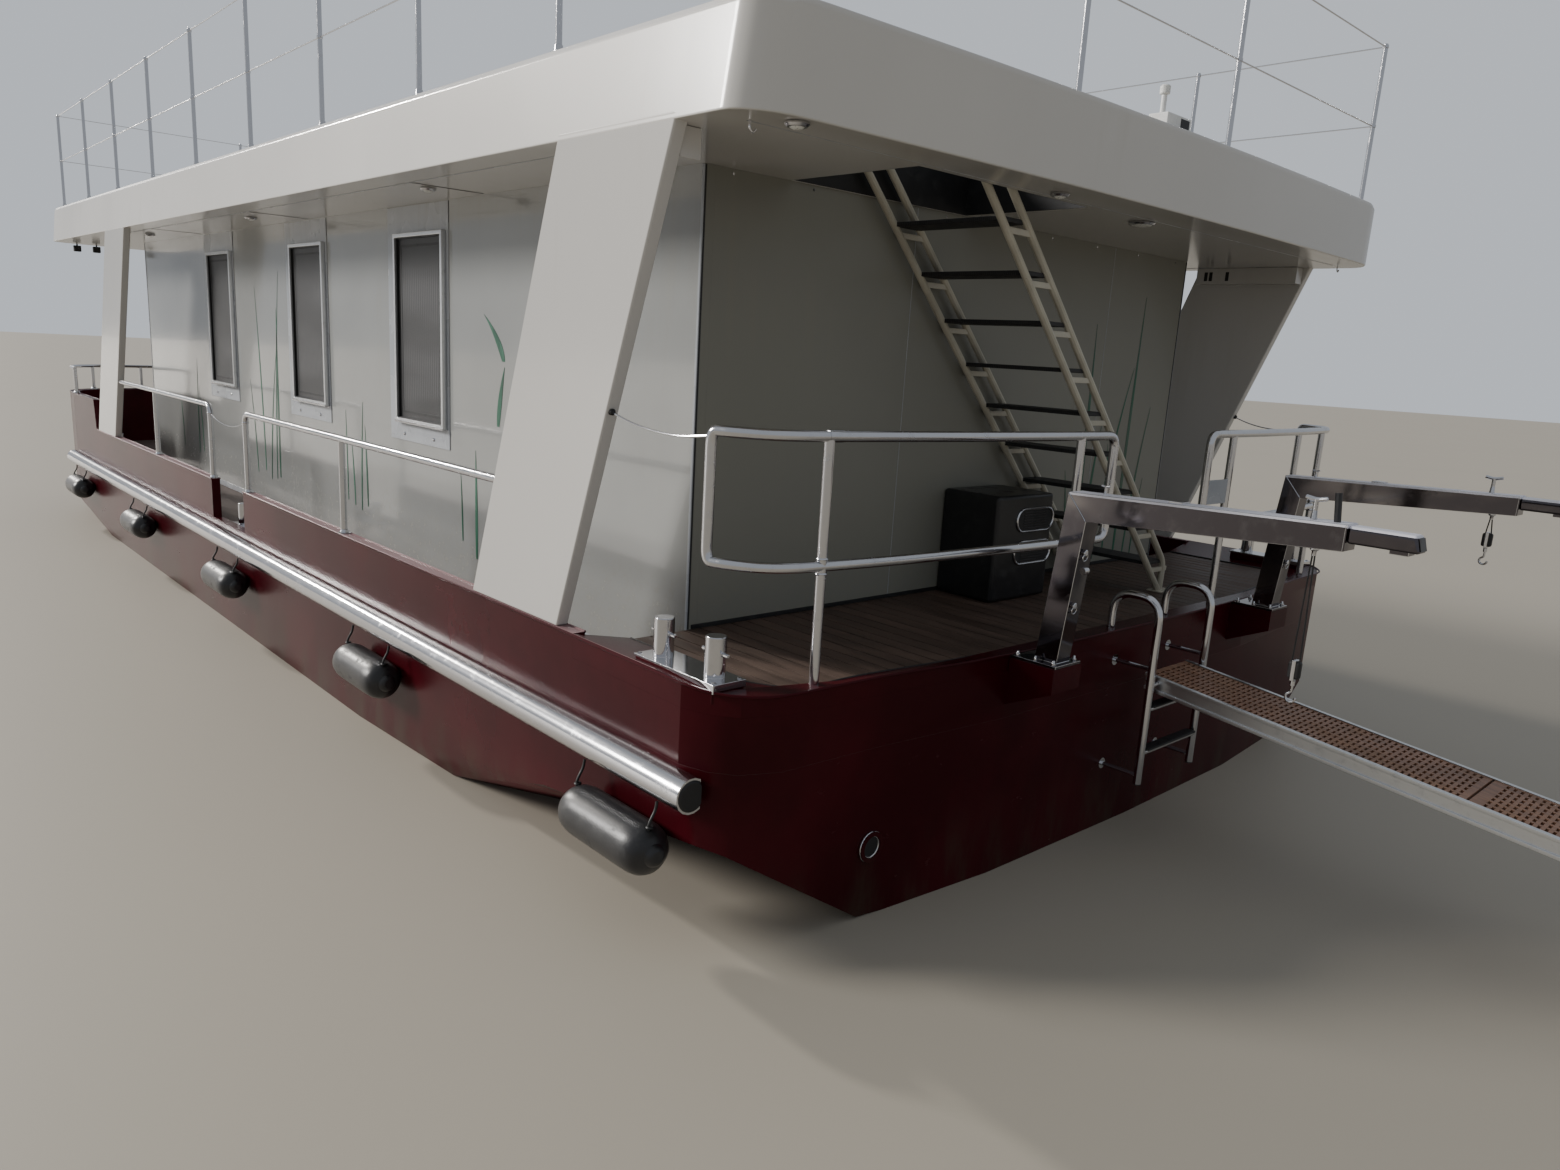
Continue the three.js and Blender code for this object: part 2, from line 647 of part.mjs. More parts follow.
function makeLadder() {
  const { aft, inboard, top, bend, tube } = LADDER;
  const foot = capAt(inboard + tube) + GAP;
  const pieces = [];
  for (const y of LADDER.sides) {
    const over = [[inboard, y, foot], [inboard, y, top], [aft, y, top], [aft, y, LADDER.foot]];
    pieces.push(bar([
      over[0],
      ...rounded(over[0], over[1], over[2], bend),
      ...rounded(over[1], over[2], over[3], bend),
      over[3],
    ], tube));
    for (const z of LADDER.ties) {
      pieces.push(bar([[aft, y, z], [sternFace(y) - 2 * GAP, y, z]], LADDER.tie, 6));
    }
  }
  const [port, starboard] = LADDER.sides;
  for (const z of LADDER.rungs) {
    pieces.push(bar([[aft, starboard, z], [aft, port, z]], LADDER.rung, 6));
  }
  const pinZ = PLANK.z - PLANK.pinDrop;
  pieces.push(bar([[aft, starboard, pinZ], [aft, port, pinZ]], PLANK.pin, 16));
  return join(pieces);
}

// A strip along the gangway between two stations, from one height to another above its datum line.
function strip([from, to], [low, high], [y0, y1]) {
  const datum = (x) => PLANK.z + (x - PLANK.root) * PLANK.drop;
  return profile([
    [from, datum(from) + high],
    [from, datum(from) + low],
    [to, datum(to) + low],
    [to, datum(to) + high],
  ], y0, y1);
}

function makeGangway() {
  const { root, joint, tip, starboard, port, side, up, down, board, groove } = PLANK;
  const inner = [starboard + 5, port - 5];
  const pieces = [
    strip([root, tip], [-down, up], [starboard, starboard + side]),
    strip([root, tip], [-down, up], [port - side, port]),
    strip([root, joint + 3], [-2, board], inner),
    strip([joint - 3, tip], [-2, board], inner),
    ...PLANK.crosses.map((x) => strip([x + PLANK.cross, x - PLANK.cross], [-PLANK.crossDown, -1], inner)),
  ];
  const hollow = [-PLANK.grooveDown, PLANK.grooveUp];
  const pinZ = PLANK.z - PLANK.pinDrop;
  const hole = bar([[LADDER.aft, -HALF_BEAM, pinZ], [LADDER.aft, HALF_BEAM, pinZ]], PLANK.pin + GAP, 16);
  return join(pieces)
    .subtract(strip([root + 1, tip - 1], hollow, [starboard - 1, starboard + groove]))
    .subtract(strip([root + 1, tip - 1], hollow, [port - groove, port + 1]))
    .subtract(hole);
}

// Bollards: the middle of each, and how far its plate reaches down below its level to the sloping rim.
const BOLLARDS = [
  { stem: "bollard_aft", x: 340, y: 2535, base: CAP, sink: 25 },
  { stem: "bollard_mid", x: 5790, y: 2500, base: WALKWAY + GAP, sink: 0 },
  { stem: "bollard_bow", x: 11800, y: 2200, base: WALKWAY + GAP, sink: 0 },
];
const BOLLARD = {
  radius: 41, height: 165, spread: 160, edge: 4, plate: 10, along: 250, across: 78,
  pin: 8, pinZ: 103, pinReach: 75,
};

// Two posts on a common plate, each with a short pin through it.
function makeBollard({ x: middle, y, base, sink }) {
  const { radius, height, along, across, edge, pinReach } = BOLLARD;
  const pieces = [
    box(middle - along, middle + along, y - across, y + across, base - sink, base + BOLLARD.plate),
  ];
  const outline = [[0, 0], [radius, 0], [radius, height - edge], [radius - edge, height], [0, height]];
  for (const side of [-1, 1]) {
    const x = middle + side * BOLLARD.spread;
    const pinZ = base + BOLLARD.pinZ;
    pieces.push(turned(outline, 20, [x, y, base]));
    pieces.push(bar([[x - pinReach, y, pinZ], [x + pinReach, y, pinZ]], BOLLARD.pin));
  }
  return join(pieces).subtract(makeSternRim().translate([0, 0, GAP]));
}

const LOCKER = { aft: 600, starboard: -210, port: 300, height: 580 };

function makeDeckBox() {
  return box(LOCKER.aft, CABIN_AFT - GAP, LOCKER.starboard, LOCKER.port, DECK + GAP, DECK + LOCKER.height);
}

const LAMP = { y: 30, x: 40 };

function makeSternLamp() {
  const base = ROOF_TOP + GAP;
  const body = box(LAMP.x - 40, LAMP.x + 60, LAMP.y - 110, LAMP.y + 110, base, base + 70);
  const post = bar([[LAMP.x + 20, LAMP.y + 60, base + 60], [LAMP.x + 20, LAMP.y + 60, base + 200]], 14);
  return join([body, post]);
}

function makePropeller() {
  const pieces = [turned([[0, -90], [SHAFT.hub - 20, -70], [SHAFT.hub, 0], [SHAFT.hub, 90], [0, 90]], 16,
    [SHAFT.propeller, 0, SHAFT.z], "x")];
  pieces.push(bar([[SHAFT.propeller, 0, SHAFT.z], [SHAFT.propeller + 390, 0, SHAFT.z]], SHAFT.radius, 12));
  for (let blade = 0; blade < 4; blade += 1) {
    const sections = [40, 120, 200].map((radius, i) => {
      const pitch = [0.9, 0.65, 0.5][i];
      const chord = [70, 95, 60][i];
      const thick = [8, 6, 4][i];
      return [[-chord, -thick], [chord, -thick], [chord, thick], [-chord, thick]].map(([c, t]) => [
        SHAFT.propeller + c * Math.sin(pitch) * 0.9 + t * Math.cos(pitch),
        c * Math.cos(pitch) - t * Math.sin(pitch),
        SHAFT.z + radius,
      ]);
    });
    const turn = (blade * Math.PI) / 2;
    const across = ([, y, z]) => y * Math.cos(turn) - (z - SHAFT.z) * Math.sin(turn);
    const up = ([, y, z]) => SHAFT.z + y * Math.sin(turn) + (z - SHAFT.z) * Math.cos(turn);
    pieces.push(loft(sections.map((section) => section.map((p) => [p[0], across(p), up(p)]))));
  }
  return join(pieces);
}

function makeRudder() {
  const half = RUDDER.thick / 2;
  const blade = plate([
    [RUDDER.x + RUDDER.lead, 0],
    [RUDDER.x + RUDDER.lead - 60, half],
    [RUDDER.x - 60, half],
    [RUDDER.x + RUDDER.lead - RUDDER.chord, 3],
    [RUDDER.x + RUDDER.lead - RUDDER.chord, -3],
    [RUDDER.x - 60, -half],
    [RUDDER.x + RUDDER.lead - 60, -half],
  ], RUDDER.bottom, RUDDER.top);
  const stock = bar([[RUDDER.x, 0, RUDDER.bottom + 50], [RUDDER.x, 0, 639]], RUDDER.stock, 16);
  return join([blade, stock]);
}

add("hull", makeHull(), COLOUR.hull, 0.25);
add("engine_block", box(ENGINE.aft, ENGINE.fore, -ENGINE.half, ENGINE.half, ENGINE.bottom, ENGINE.top),
  COLOUR.grey, 0.6, 0.4);
add("aft_platform", makeAftPlatform(), COLOUR.hull, 0.25);
add("aft_deck", makeAftDeck(), COLOUR.wood, 0.7);
add("stern_rim", makeSternRim(), COLOUR.hull, 0.25);
addPair("bulwark", makeBulwark(), COLOUR.hull, 0.25);
add("bulwark_bow", makeBowBulwark(), COLOUR.hull, 0.25);
addPair("rub_rail", makeRubRail(), COLOUR.steel, 0.3, 1);
FENDER.stations.forEach((x, i) => addPair(`fender_${i + 1}`, makeFender(x), COLOUR.rubber, 0.5));
addPair("cabin_side", makeSideWall(), COLOUR.panel, 0.35);
add("cabin_aft_wall", makeAftWall(), COLOUR.panel, 0.35);
add("cabin_front_wall", makeFrontWall(), COLOUR.panel, 0.35);
add("front_door", makeFrontDoor(), COLOUR.steel, 0.3, 0.8);
add("roof", makeRoof(), COLOUR.cream, 0.35);
FINS.forEach((fin) => addPair(fin.name, makeFin(fin), COLOUR.cream, 0.35));
const sideFeet = Array.from({ length: STANCHION.count }, (_, i) => [
  i === 0 ? STANCHION.first : STANCHION.second + (i - 1) * STANCHION.pitch, STANCHION.y,
]);
addPair("roof_rail", makeRoofRail(sideFeet, [sideFeet[0], sideFeet.at(-1)]), COLOUR.steel, 0.3, 1);
const across = [1, -1].map((side) => side * STANCHION.across);
const wireEnds = [1, -1].map((side) => side * (STANCHION.y - STANCHION.radius - GAP));
for (const [name, x] of [["roof_rail_aft", STANCHION.first], ["roof_rail_bow", sideFeet.at(-1)[0]]]) {
  const rail = makeRoofRail(across.map((y) => [x, y]), wireEnds.map((y) => [x, y]));
  add(name, rail, COLOUR.steel, 0.3, 1);
}
SIDE_RAILS.forEach((rail) => addPair(rail.stem, makeSideRail(rail), COLOUR.steel, 0.25, 1));
addPair("stern_rail", makeSternRail(), COLOUR.steel, 0.25, 1);
add("bow_rail", makeBowRail(), COLOUR.steel, 0.25, 1);
add("roof_stair", makeStair(), COLOUR.cream, 0.4);
add("davit_port", makeDavit().translate([0, DAVIT.y, 0]), COLOUR.steel, 0.15, 1);
add("davit_starboard", makeDavit().translate([0, -DAVIT.y, 0]), COLOUR.steel, 0.15, 1);
add("boarding_ladder", makeLadder(), COLOUR.steel, 0.2, 1);
add("gangway", makeGangway(), COLOUR.wood, 0.6);
BOLLARDS.forEach((place) => addPair(place.stem, makeBollard(place), COLOUR.steel, 0.2, 1));
add("deck_box", makeDeckBox(), COLOUR.black, 0.4);
add("stern_lamp", makeSternLamp(), COLOUR.cream, 0.4);
add("propeller", makePropeller(), COLOUR.bronze, 0.3, 1);
add("rudder", makeRudder(), COLOUR.grey, 0.5, 0.3);

export default model;
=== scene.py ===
"""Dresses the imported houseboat: camera, stage, finishes and the fittings that sit on its solids."""

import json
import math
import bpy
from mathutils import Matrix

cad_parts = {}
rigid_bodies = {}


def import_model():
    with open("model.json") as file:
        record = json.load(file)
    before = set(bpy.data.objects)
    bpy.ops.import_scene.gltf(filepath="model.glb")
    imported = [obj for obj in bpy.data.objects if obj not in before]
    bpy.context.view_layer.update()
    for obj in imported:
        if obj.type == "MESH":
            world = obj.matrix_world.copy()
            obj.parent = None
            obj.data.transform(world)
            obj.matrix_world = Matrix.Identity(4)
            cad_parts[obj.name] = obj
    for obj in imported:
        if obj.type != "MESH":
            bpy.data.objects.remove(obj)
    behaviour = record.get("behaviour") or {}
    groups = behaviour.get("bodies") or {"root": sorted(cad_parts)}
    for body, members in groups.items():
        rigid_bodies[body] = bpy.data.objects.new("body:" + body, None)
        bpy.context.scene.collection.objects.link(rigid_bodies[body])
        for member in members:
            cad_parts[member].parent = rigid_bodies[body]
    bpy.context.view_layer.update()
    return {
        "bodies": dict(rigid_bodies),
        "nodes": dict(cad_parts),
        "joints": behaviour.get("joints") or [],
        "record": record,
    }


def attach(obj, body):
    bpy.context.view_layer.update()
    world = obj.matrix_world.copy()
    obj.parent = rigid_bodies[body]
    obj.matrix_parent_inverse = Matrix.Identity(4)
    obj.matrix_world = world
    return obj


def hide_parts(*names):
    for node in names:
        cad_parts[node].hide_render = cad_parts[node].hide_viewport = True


bl_info = {
    "name": "Houseboat",
    "version": (1, 0, 0),
    "blender": (4, 5, 0),
    "location": "View3D > Sidebar > Houseboat",
    "description": "Dresses a steel houseboat with finishes and deck fittings",
    "category": "Object",
}

from contextlib import contextmanager

import bpy
from mathutils import Matrix, Vector

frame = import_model()
NODES = frame["nodes"]

# Millimetres, as in the part's source: stations run forward from the roof's aft face, heights up from the
# bottom, and y to port. The waterline is in metres.
MIDSHIPS = 6300
HALF_BEAM = 2650
CAP = 1665
STERN_CAP = 1630
BOW_CAP = 1970
WALKWAY = 1340
DECK = 1600
SOFFIT = 3606
ROOF_TOP = 3971
CABIN_AFT = 980
CABIN_FORE = 10550
CABIN_HALF = 2054
RAIL_Y = 2620
WATERLINE = 0.6
BULWARK_INNER = 2590
SIDES = {"port": 1, "starboard": -1}
# The line of the davits' tops, in metres, which bounds their painted sky reflection: height plus slope times
# the place along the row's own axis.
DAVIT_SLOPE = 0.0295
DAVIT_TOP = 2.1585
# How far from a face's height, in metres, a finish still counts as on it.
HAIR = 0.0002


def at(x, y, z):
    """A place given as station, distance to port and height in millimetres, in the row's frame in metres."""
    return Vector((at_station(x), y / 1000, z / 1000))


def at_station(station):
    return (station - MIDSHIPS) / 1000


# Finishes.


class Value:
    """One output of a shader node. Sums and products of values add the Math nodes they need."""

    def __init__(self, finish, socket):
        self.finish = finish
        self.socket = socket

    def math(self, operation, *others):
        inputs = dict(enumerate((self, *others)))
        return self.finish.node("ShaderNodeMath", {"operation": operation}, inputs)

    def __add__(self, other):
        return self.math("ADD", other)

    __radd__ = __add__

    def __sub__(self, other):
        return self.math("SUBTRACT", other)

    def __rsub__(self, other):
        return self.finish.node("ShaderNodeMath", {"operation": "SUBTRACT"}, {0: other, 1: self})

    def __mul__(self, other):
        return self.math("MULTIPLY", other)

    __rmul__ = __mul__

    def above(self, edge):
        return self.math("GREATER_THAN", edge)

    def below(self, edge):
        return self.math("LESS_THAN", edge)

    def most(self, other):
        return self.math("MAXIMUM", other)

    def size(self):
        return self.math("ABSOLUTE")

    def rest(self):
        return self.math("FRACT")


class Finish:
    """A material in the making, on a Principled shader."""

    def __init__(self, name, **constants):
        self.material = bpy.data.materials.new(name)
        self.material.use_nodes = True
        self.tree = self.material.node_tree
        self.tree.nodes.clear()
        self.shader = self.tree.nodes.new("ShaderNodeBsdfPrincipled")
        output = self.tree.nodes.new("ShaderNodeOutputMaterial")
        self.tree.links.new(self.shader.outputs[0], output.inputs[0])
        for name, value in constants.items():
            self.shader.inputs[name.replace("_", " ")].default_value = value
        self.place = self.node("ShaderNodeTexCoord", {}, {}, "Object")
        self.x, self.y, self.z = (
            self.node("ShaderNodeSeparateXYZ", {}, {0: self.place}, axis) for axis in "XYZ"
        )

    def node(self, kind, settings, inputs, output=0):
        """Adds a node: its settings first, then the values or links of its sockets. Returns one output."""
        made = self.tree.nodes.new(kind)
        for name, value in settings.items():
            if name == "stops":
                ramp = made.color_ramp.elements
                while len(ramp) < len(value):
                    ramp.new(1)
                for element, (position, colour) in zip(ramp, value):
                    element.position = position
                    element.color = (*colour, 1)
            else:
                setattr(made, name, value)
        for name, value in inputs.items():
            socket = made.inputs[name]
            if isinstance(value, Value):
                self.tree.links.new(value.socket, socket)
            elif isinstance(value, (tuple, list)) and len(socket.default_value) > len(value):
                socket.default_value = (*value, 1)
            else:
                socket.default_value = value
        return Value(self, made.outputs[output])

    def stretched(self, x=1.0, y=1.0, z=1.0):
        return self.node("ShaderNodeMapping", {}, {"Vector": self.place, "Scale": (x, y, z)})

    def noise(self, scale, detail=3.0, roughness=0.5, place=None):
        inputs = {"Vector": place or self.place, "Scale": scale, "Detail": detail, "Roughness": roughness}
        return self.node("ShaderNodeTexNoise", {}, inputs)

    def cells(self, scale):
        return self.node("ShaderNodeTexVoronoi", {}, {"Vector": self.place, "Scale": scale}, "Distance")

    def steps(self, value, low, high, start=0.0, end=1.0):
        """A value that runs from start to end while another goes from low to high."""
        inputs = {"Value": value, "From Min": low, "From Max": high, "To Min": start, "To Max": end}
        return self.node("ShaderNodeMapRange", {"interpolation_type": "SMOOTHSTEP"}, inputs)

    def mix(self, factor, one, other):
        """A mix of two colours, which are the node's sockets 6 and 7, and its output 2."""
        return self.node("ShaderNodeMix", {"data_type": "RGBA"}, {0: factor, 6: one, 7: other}, 2)

    def spread(self, mask, one, other, even, worn):
        """Two colours and two roughnesses, spread by one mask."""
        return self.feed(Base_Color=self.mix(mask, one, other), Roughness=self.steps(mask, 0, 1, even, worn))

    def feed(self, **links):
        for name, value in links.items():
            self.tree.links.new(value.socket, self.shader.inputs[name.replace("_", " ")])
        return self

    def relief(self, height, distance=0.001, strength=0.5):
        inputs = {"Strength": strength, "Distance": distance, "Height": height}
        return self.feed(Normal=self.node("ShaderNodeBump", {}, inputs))


FINISHES = {}


def finish(name):
    """A finish by name, made the first time it is asked for."""
    if name not in FINISHES:
        FINISHES[name] = MAKERS[name](bpy.context.scene.houseboat_colours).material
    return FINISHES[name]


def shade(colour, factor):
    return tuple(channel * factor for channel in colour[:3])


def streaks(f, scale=9.0):
    """Faint runs of dirt down a wall."""
    fine = f.noise(scale, 4, 0.6, f.stretched(1, 1, 0.06))
    patch = f.noise(0.8, 2)
    return f.steps(fine * patch, 0.3, 0.5)


def make_hull_paint(colours):
    """Dark red paint, with scuffs, a dirty line over the water, duller walkways, and caps made paler by a
    painted reflection of the sky.
    """
    f = Finish("hull paint", Specular_IOR_Level=0.1)
    red = tuple(colours.hull)
    cloudy = f.noise(1.6, 4, 0.55)
    scuff = f.steps(f.noise(9, 6, 0.7, f.stretched(0.2, 0.6, 1)), 0.66, 0.8)
    splashes = f.steps(f.noise(5, 5, 0.6, f.stretched(1, 1, 0.3)), 0.42, 0.7)
    low = f.steps(f.z, WATERLINE + 0.02, 1.05, 1, 0) * splashes
    deck = f.z.above(WALKWAY / 1000 - HAIR) * f.z.below(WALKWAY / 1000 + HAIR)
    body = f.mix(f.steps(cloudy, 0.35, 0.7), shade(red, 0.78), shade(red, 1.2))
    body = f.mix(scuff * 0.18, body, (0.2, 0.11, 0.1))
    body = f.mix(low * 0.5, body, (0.05, 0.045, 0.03))
    body = f.mix(deck, body, (0.14, 0.11, 0.1))
    # Painted reflection: the caps' upward faces are made paler, as if they mirrored the sky.
    cap = f.z.above(CAP / 1000 - 4 * HAIR) * f.x.below(at_station(BOW_STEP - 60))
    body = f.mix(cap, body, (0.26, 0.16, 0.165))
    ripple = f.noise(1.1, 2, 0.5, f.stretched(1, 1, 0.5))
    f.feed(Base_Color=body, Roughness=f.steps(scuff + deck, 0, 1, 0.27, 0.62))
    f.relief(ripple + f.noise(90, 2) * 0.01, 0.012, 0.3)
    return f


def make_cream_paint(colours):
    """Cream paint, with painted shade under the roof and round its aft end, and grit rolled into the roof
    deck.
    """
    f = Finish("superstructure paint", Coat_Weight=0.3, Coat_Roughness=0.1)
    cream = tuple(colours.superstructure)
    cloudy = f.steps(f.noise(0.9, 3), 0.3, 0.7)
    dirt = streaks(f) * 0.16
    body = f.mix(cloudy, shade(cream, 0.95), shade(cream, 1.03))
    # Painted shade: everything below the soffit's height, the soffit, the fins and the ledges, is darkened.
    body = f.mix(f.z.below((SOFFIT + 2) / 1000) * 0.75, body, shade(cream, 0.6))
    # Painted shade on the roof's aft end, which faces away from the light.
    aft = f.steps(f.x, at_station(30), at_station(220), 1, 0) * f.z.above((SOFFIT - 6) / 1000)
    body = f.mix(aft * 0.6, body, (0.42, 0.4, 0.36))
    body = f.mix(dirt, body, (0.42, 0.38, 0.3))
    grit = f.z.above((ROOF_TOP + 4.5) / 1000)
    speck = f.steps(f.cells(160), 0.1, 0.35)
    body = f.mix(grit * speck * 0.8, body, (0.5, 0.5, 0.47))
    f.feed(Base_Color=body, Roughness=f.steps(dirt + grit, 0, 1, 0.2, 0.7))
    f.relief(f.noise(1.3, 2) + f.noise(60, 2) * 0.02 + grit * speck * 0.08, 0.01, 0.22)
    return f


def make_panel(colours):
    """Glossy wall panels. The aft wall is darkened by painted shade, and is duller."""
    f = Finish("cabin panel", Coat_Roughness=0.05)
    green = tuple(colours.panels)
    cloudy = f.steps(f.noise(1.2, 3), 0.3, 0.7)
    dirt = streaks(f, 12) * 0.14
    low = f.steps(f.z, (DECK + 20) / 1000, (DECK + 350) / 1000, 1, 0)
    splash = low * f.steps(f.noise(30, 4, 0.65), 0.45, 0.7) * 0.22
    body = f.mix(cloudy, shade(green, 0.94), shade(green, 1.03))
    # Painted shade: the aft wall's faces are darkened and made duller.
    aft = f.x.below(at_station(CABIN_AFT + 1))
    body = f.mix(aft * 0.8, body, (0.2, 0.195, 0.155))
    body = f.mix(dirt.most(splash), body, (0.3, 0.27, 0.2))
    rough = f.steps(dirt + splash, 0, 0.4, 0.14, 0.45) + aft * 0.35
    f.feed(Base_Color=body, Roughness=rough, Coat_Weight=f.steps(aft, 0, 1, 0.4, 0.05))
    f.relief(f.noise(0.9, 2, 0.5, f.stretched(1, 1, 0.5)), 0.012, 0.2)
    return f


def make_steel(colours, name="stainless steel", roughness=0.16, wear=0.14):
    f = Finish(name, Metallic=1.0)
    grey = tuple(colours.steel)
    fine = f.noise(140, 3, 0.6)
    spots = f.steps(f.noise(18, 5, 0.7), 0.5, 0.75)
    body = f.mix(spots * 0.22, grey, shade(grey, 0.55))
    rough = f.steps(fine * 0.4 + spots * 0.6, 0.1, 0.8, roughness, roughness + wear)
    return f.feed(Base_Color=body, Roughness=rough).relief(f.noise(5, 2), 0.002, 0.05)


def make_bright_steel(colours):
    return make_steel(colours, "bright steel", 0.1, 0.1)


def make_reflection_painted_steel(colours):
    """Polished plate with painted reflections: dark water in bands on its sides, and the sky, pale and dull,
    on its sloping top.
    """
    f = Finish("dark polished steel")
    # Painted reflection of dark water: dark and lighter bands on the sides.
    bands = f.steps(f.noise(2.1, 3, 0.5, f.stretched(0.5, 1.6, 1.2)), 0.5, 0.72)
    smear = f.steps(f.noise(16, 5, 0.7), 0.5, 0.75)
    # Painted reflection of the sky: the sloping tops of the arm and of its end sleeve are pale, dull and
    # hardly metallic.
    arm = (f.z + f.x * DAVIT_SLOPE).above(DAVIT_TOP)
    tip = f.z.above(2.383) * f.x.below(-7.7)
    grey = f.mix(bands, (0.11, 0.1, 0.11), (0.36, 0.33, 0.32))
    grey = f.mix(smear * 0.12, grey, (0.4, 0.39, 0.38))
    top = arm.most(tip)
    rough = f.steps(smear, 0, 1, 0.08, 0.2) + top * 0.35
    body = f.mix(top, grey, (0.78, 0.77, 0.83))
    f.feed(Base_Color=body, Roughness=rough, Metallic=f.steps(top, 0, 1, 1, 0.05))
    return f.relief(f.noise(5, 2), 0.003, 0.12)


def make_aluminium(colours):
    f = Finish("anodised aluminium", Metallic=1.0)
    grain = f.noise(300, 2, 0.5, f.stretched(0.05, 1, 1))
    marks = f.steps(f.noise(22, 4, 0.7), 0.5, 0.72)
    body = f.mix(marks * 0.3, (0.66, 0.67, 0.68), (0.42, 0.42, 0.42))
    f.feed(Base_Color=body, Roughness=f.steps(grain + marks * 0.4, 0.3, 1.2, 0.28, 0.46))
    return f.relief(grain, 0.0006, 0.3)


def make_rubber(colours, name="fender rubber", grey=0.018, roughness=0.36):
    f = Finish(name, Specular_IOR_Level=0.5)
    dust = f.steps(f.noise(14, 5, 0.65), 0.48, 0.75)
    pale = grey * 4 + 0.02
    body = f.mix(dust * 0.22, (grey, grey, grey * 1.1), (pale, pale, grey * 3.8 + 0.018))
    f.feed(Base_Color=body, Roughness=f.steps(dust, 0, 1, roughness, roughness + 0.25))
    return f.relief(f.noise(120, 3), 0.0012, 0.35)


def make_tread(colours):
    f = make_rubber(colours, "tread rubber", 0.014, 0.6)
    ribs = (f.x * 90).rest()
    return f.relief(f.steps((ribs - 0.5).size(), 0.1, 0.3), 0.0015, 0.8)


def make_locker(colours):
    return make_rubber(colours, "locker plastic", 0.012, 0.3)


def make_planks(colours):
    f = Finish("deck planks")
    brown = tuple(colours.planks)
    board = (f.y * (1000 / PLANK_PITCH) + 0.5).math("FLOOR")
    tone = f.node("ShaderNodeTexWhiteNoise", {"noise_dimensions": "1D"}, {"W": board})
    grain = f.noise(16, 6, 0.65, f.stretched(0.12, 1, 1))
    ribs = (f.y * (1000 / PLANK_PITCH * 9)).rest()
    rib = f.steps((ribs - 0.5).size(), 0.18, 0.4)
    body = f.mix(f.steps(grain, 0.3, 0.72), shade(brown, 0.62), shade(brown, 1.35))
    body = f.mix(tone * 0.35, body, shade(brown, 0.7))
    body = f.mix(rib * 0.35, body, shade(brown, 0.3))
    f.feed(Base_Color=body, Roughness=f.steps(grain, 0.3, 0.7, 0.5, 0.72))
    return f.relief(grain * 0.4 - rib * 0.7, 0.0016, 0.7)


def make_board(colours):
    f = Finish("gangway boards")
    tan = tuple(colours.boards)
    grain = f.noise(40, 5, 0.6, f.stretched(0.2, 1, 1))
    worn = f.steps(f.noise(5, 4, 0.6), 0.45, 0.7)
    body = f.mix(f.steps(grain, 0.3, 0.7), shade(tan, 0.75), shade(tan, 1.25))
    body = f.mix(worn * 0.25, body, (0.36, 0.25, 0.17))
    f.feed(Base_Color=body, Roughness=f.steps(worn, 0, 1, 0.45, 0.68))
    return f.relief(grain, 0.0012, 0.5)


def make_stair_paint(colours):
    f = Finish("stair paint")
    cream = tuple(colours.stair)
    chips = f.steps(f.noise(60, 5, 0.7), 0.66, 0.72)
    cloudy = f.steps(f.noise(6, 3), 0.3, 0.7)
    body = f.mix(cloudy, shade(cream, 0.86), shade(cream, 1.05))
    body = f.mix(chips * 0.7, body, (0.2, 0.16, 0.1))
    f.feed(Base_Color=body, Roughness=f.steps(cloudy, 0, 1, 0.3, 0.5))
    return f.relief(f.noise(80, 2) - chips * 0.4, 0.001, 0.4)


def make_surround(colours):
    f = Finish("window surround")
    cloudy = f.steps(f.noise(3, 3), 0.35, 0.7)
    dirt = streaks(f, 24) * 0.25
    body = f.mix(cloudy, (0.38, 0.4, 0.43), (0.44, 0.46, 0.49))
    body = f.mix(dirt, body, (0.28, 0.26, 0.22))
    f.feed(Base_Color=body, Roughness=f.steps(cloudy, 0, 1, 0.2, 0.36))
    return f.relief(f.noise(50, 2), 0.0008, 0.2)


def make_screen(colours):
    """Dark insect screen: a fine weave that lets a little of the pleated blind behind it show."""
    f = Finish("insect screen", Specular_IOR_Level=0.4)
    warp = ((f.x * 420).rest() - 0.5).size()
    weft = ((f.z * 420).rest() - 0.5).size()
    weave = warp.most(weft)
    pleat = ((f.x * 38).rest() - 0.5).size()
    bands = f.steps(f.noise(2.2, 3, 0.5, f.stretched(0.2, 0.2, 1)), 0.42, 0.62)
    body = f.mix(bands * f.steps(pleat, 0.05, 0.45) * 0.7, (0.026, 0.026, 0.028), (0.115, 0.115, 0.122))
    body = f.mix(f.steps(weave, 0.3, 0.5) * 0.25, body, (0.1, 0.1, 0.102))
    f.feed(Base_Color=body, Roughness=f.steps(weave, 0.2, 0.5, 0.3, 0.6))
    return f.relief(weave, 0.0005, 0.4)


def make_glass(colours):
    f = Finish("tinted glass", Coat_Weight=0.6, Coat_Roughness=0.02, Specular_IOR_Level=0.8)
    smear = f.steps(f.noise(3, 4, 0.6), 0.45, 0.75)
    body = f.mix(smear * 0.3, (0.012, 0.015, 0.018), (0.05, 0.055, 0.06))
    return f.feed(Base_Color=body, Roughness=f.steps(smear, 0, 1, 0.04, 0.14))


def make_black_seal(colours):
    return make_rubber(colours, "black seal", 0.01, 0.5)


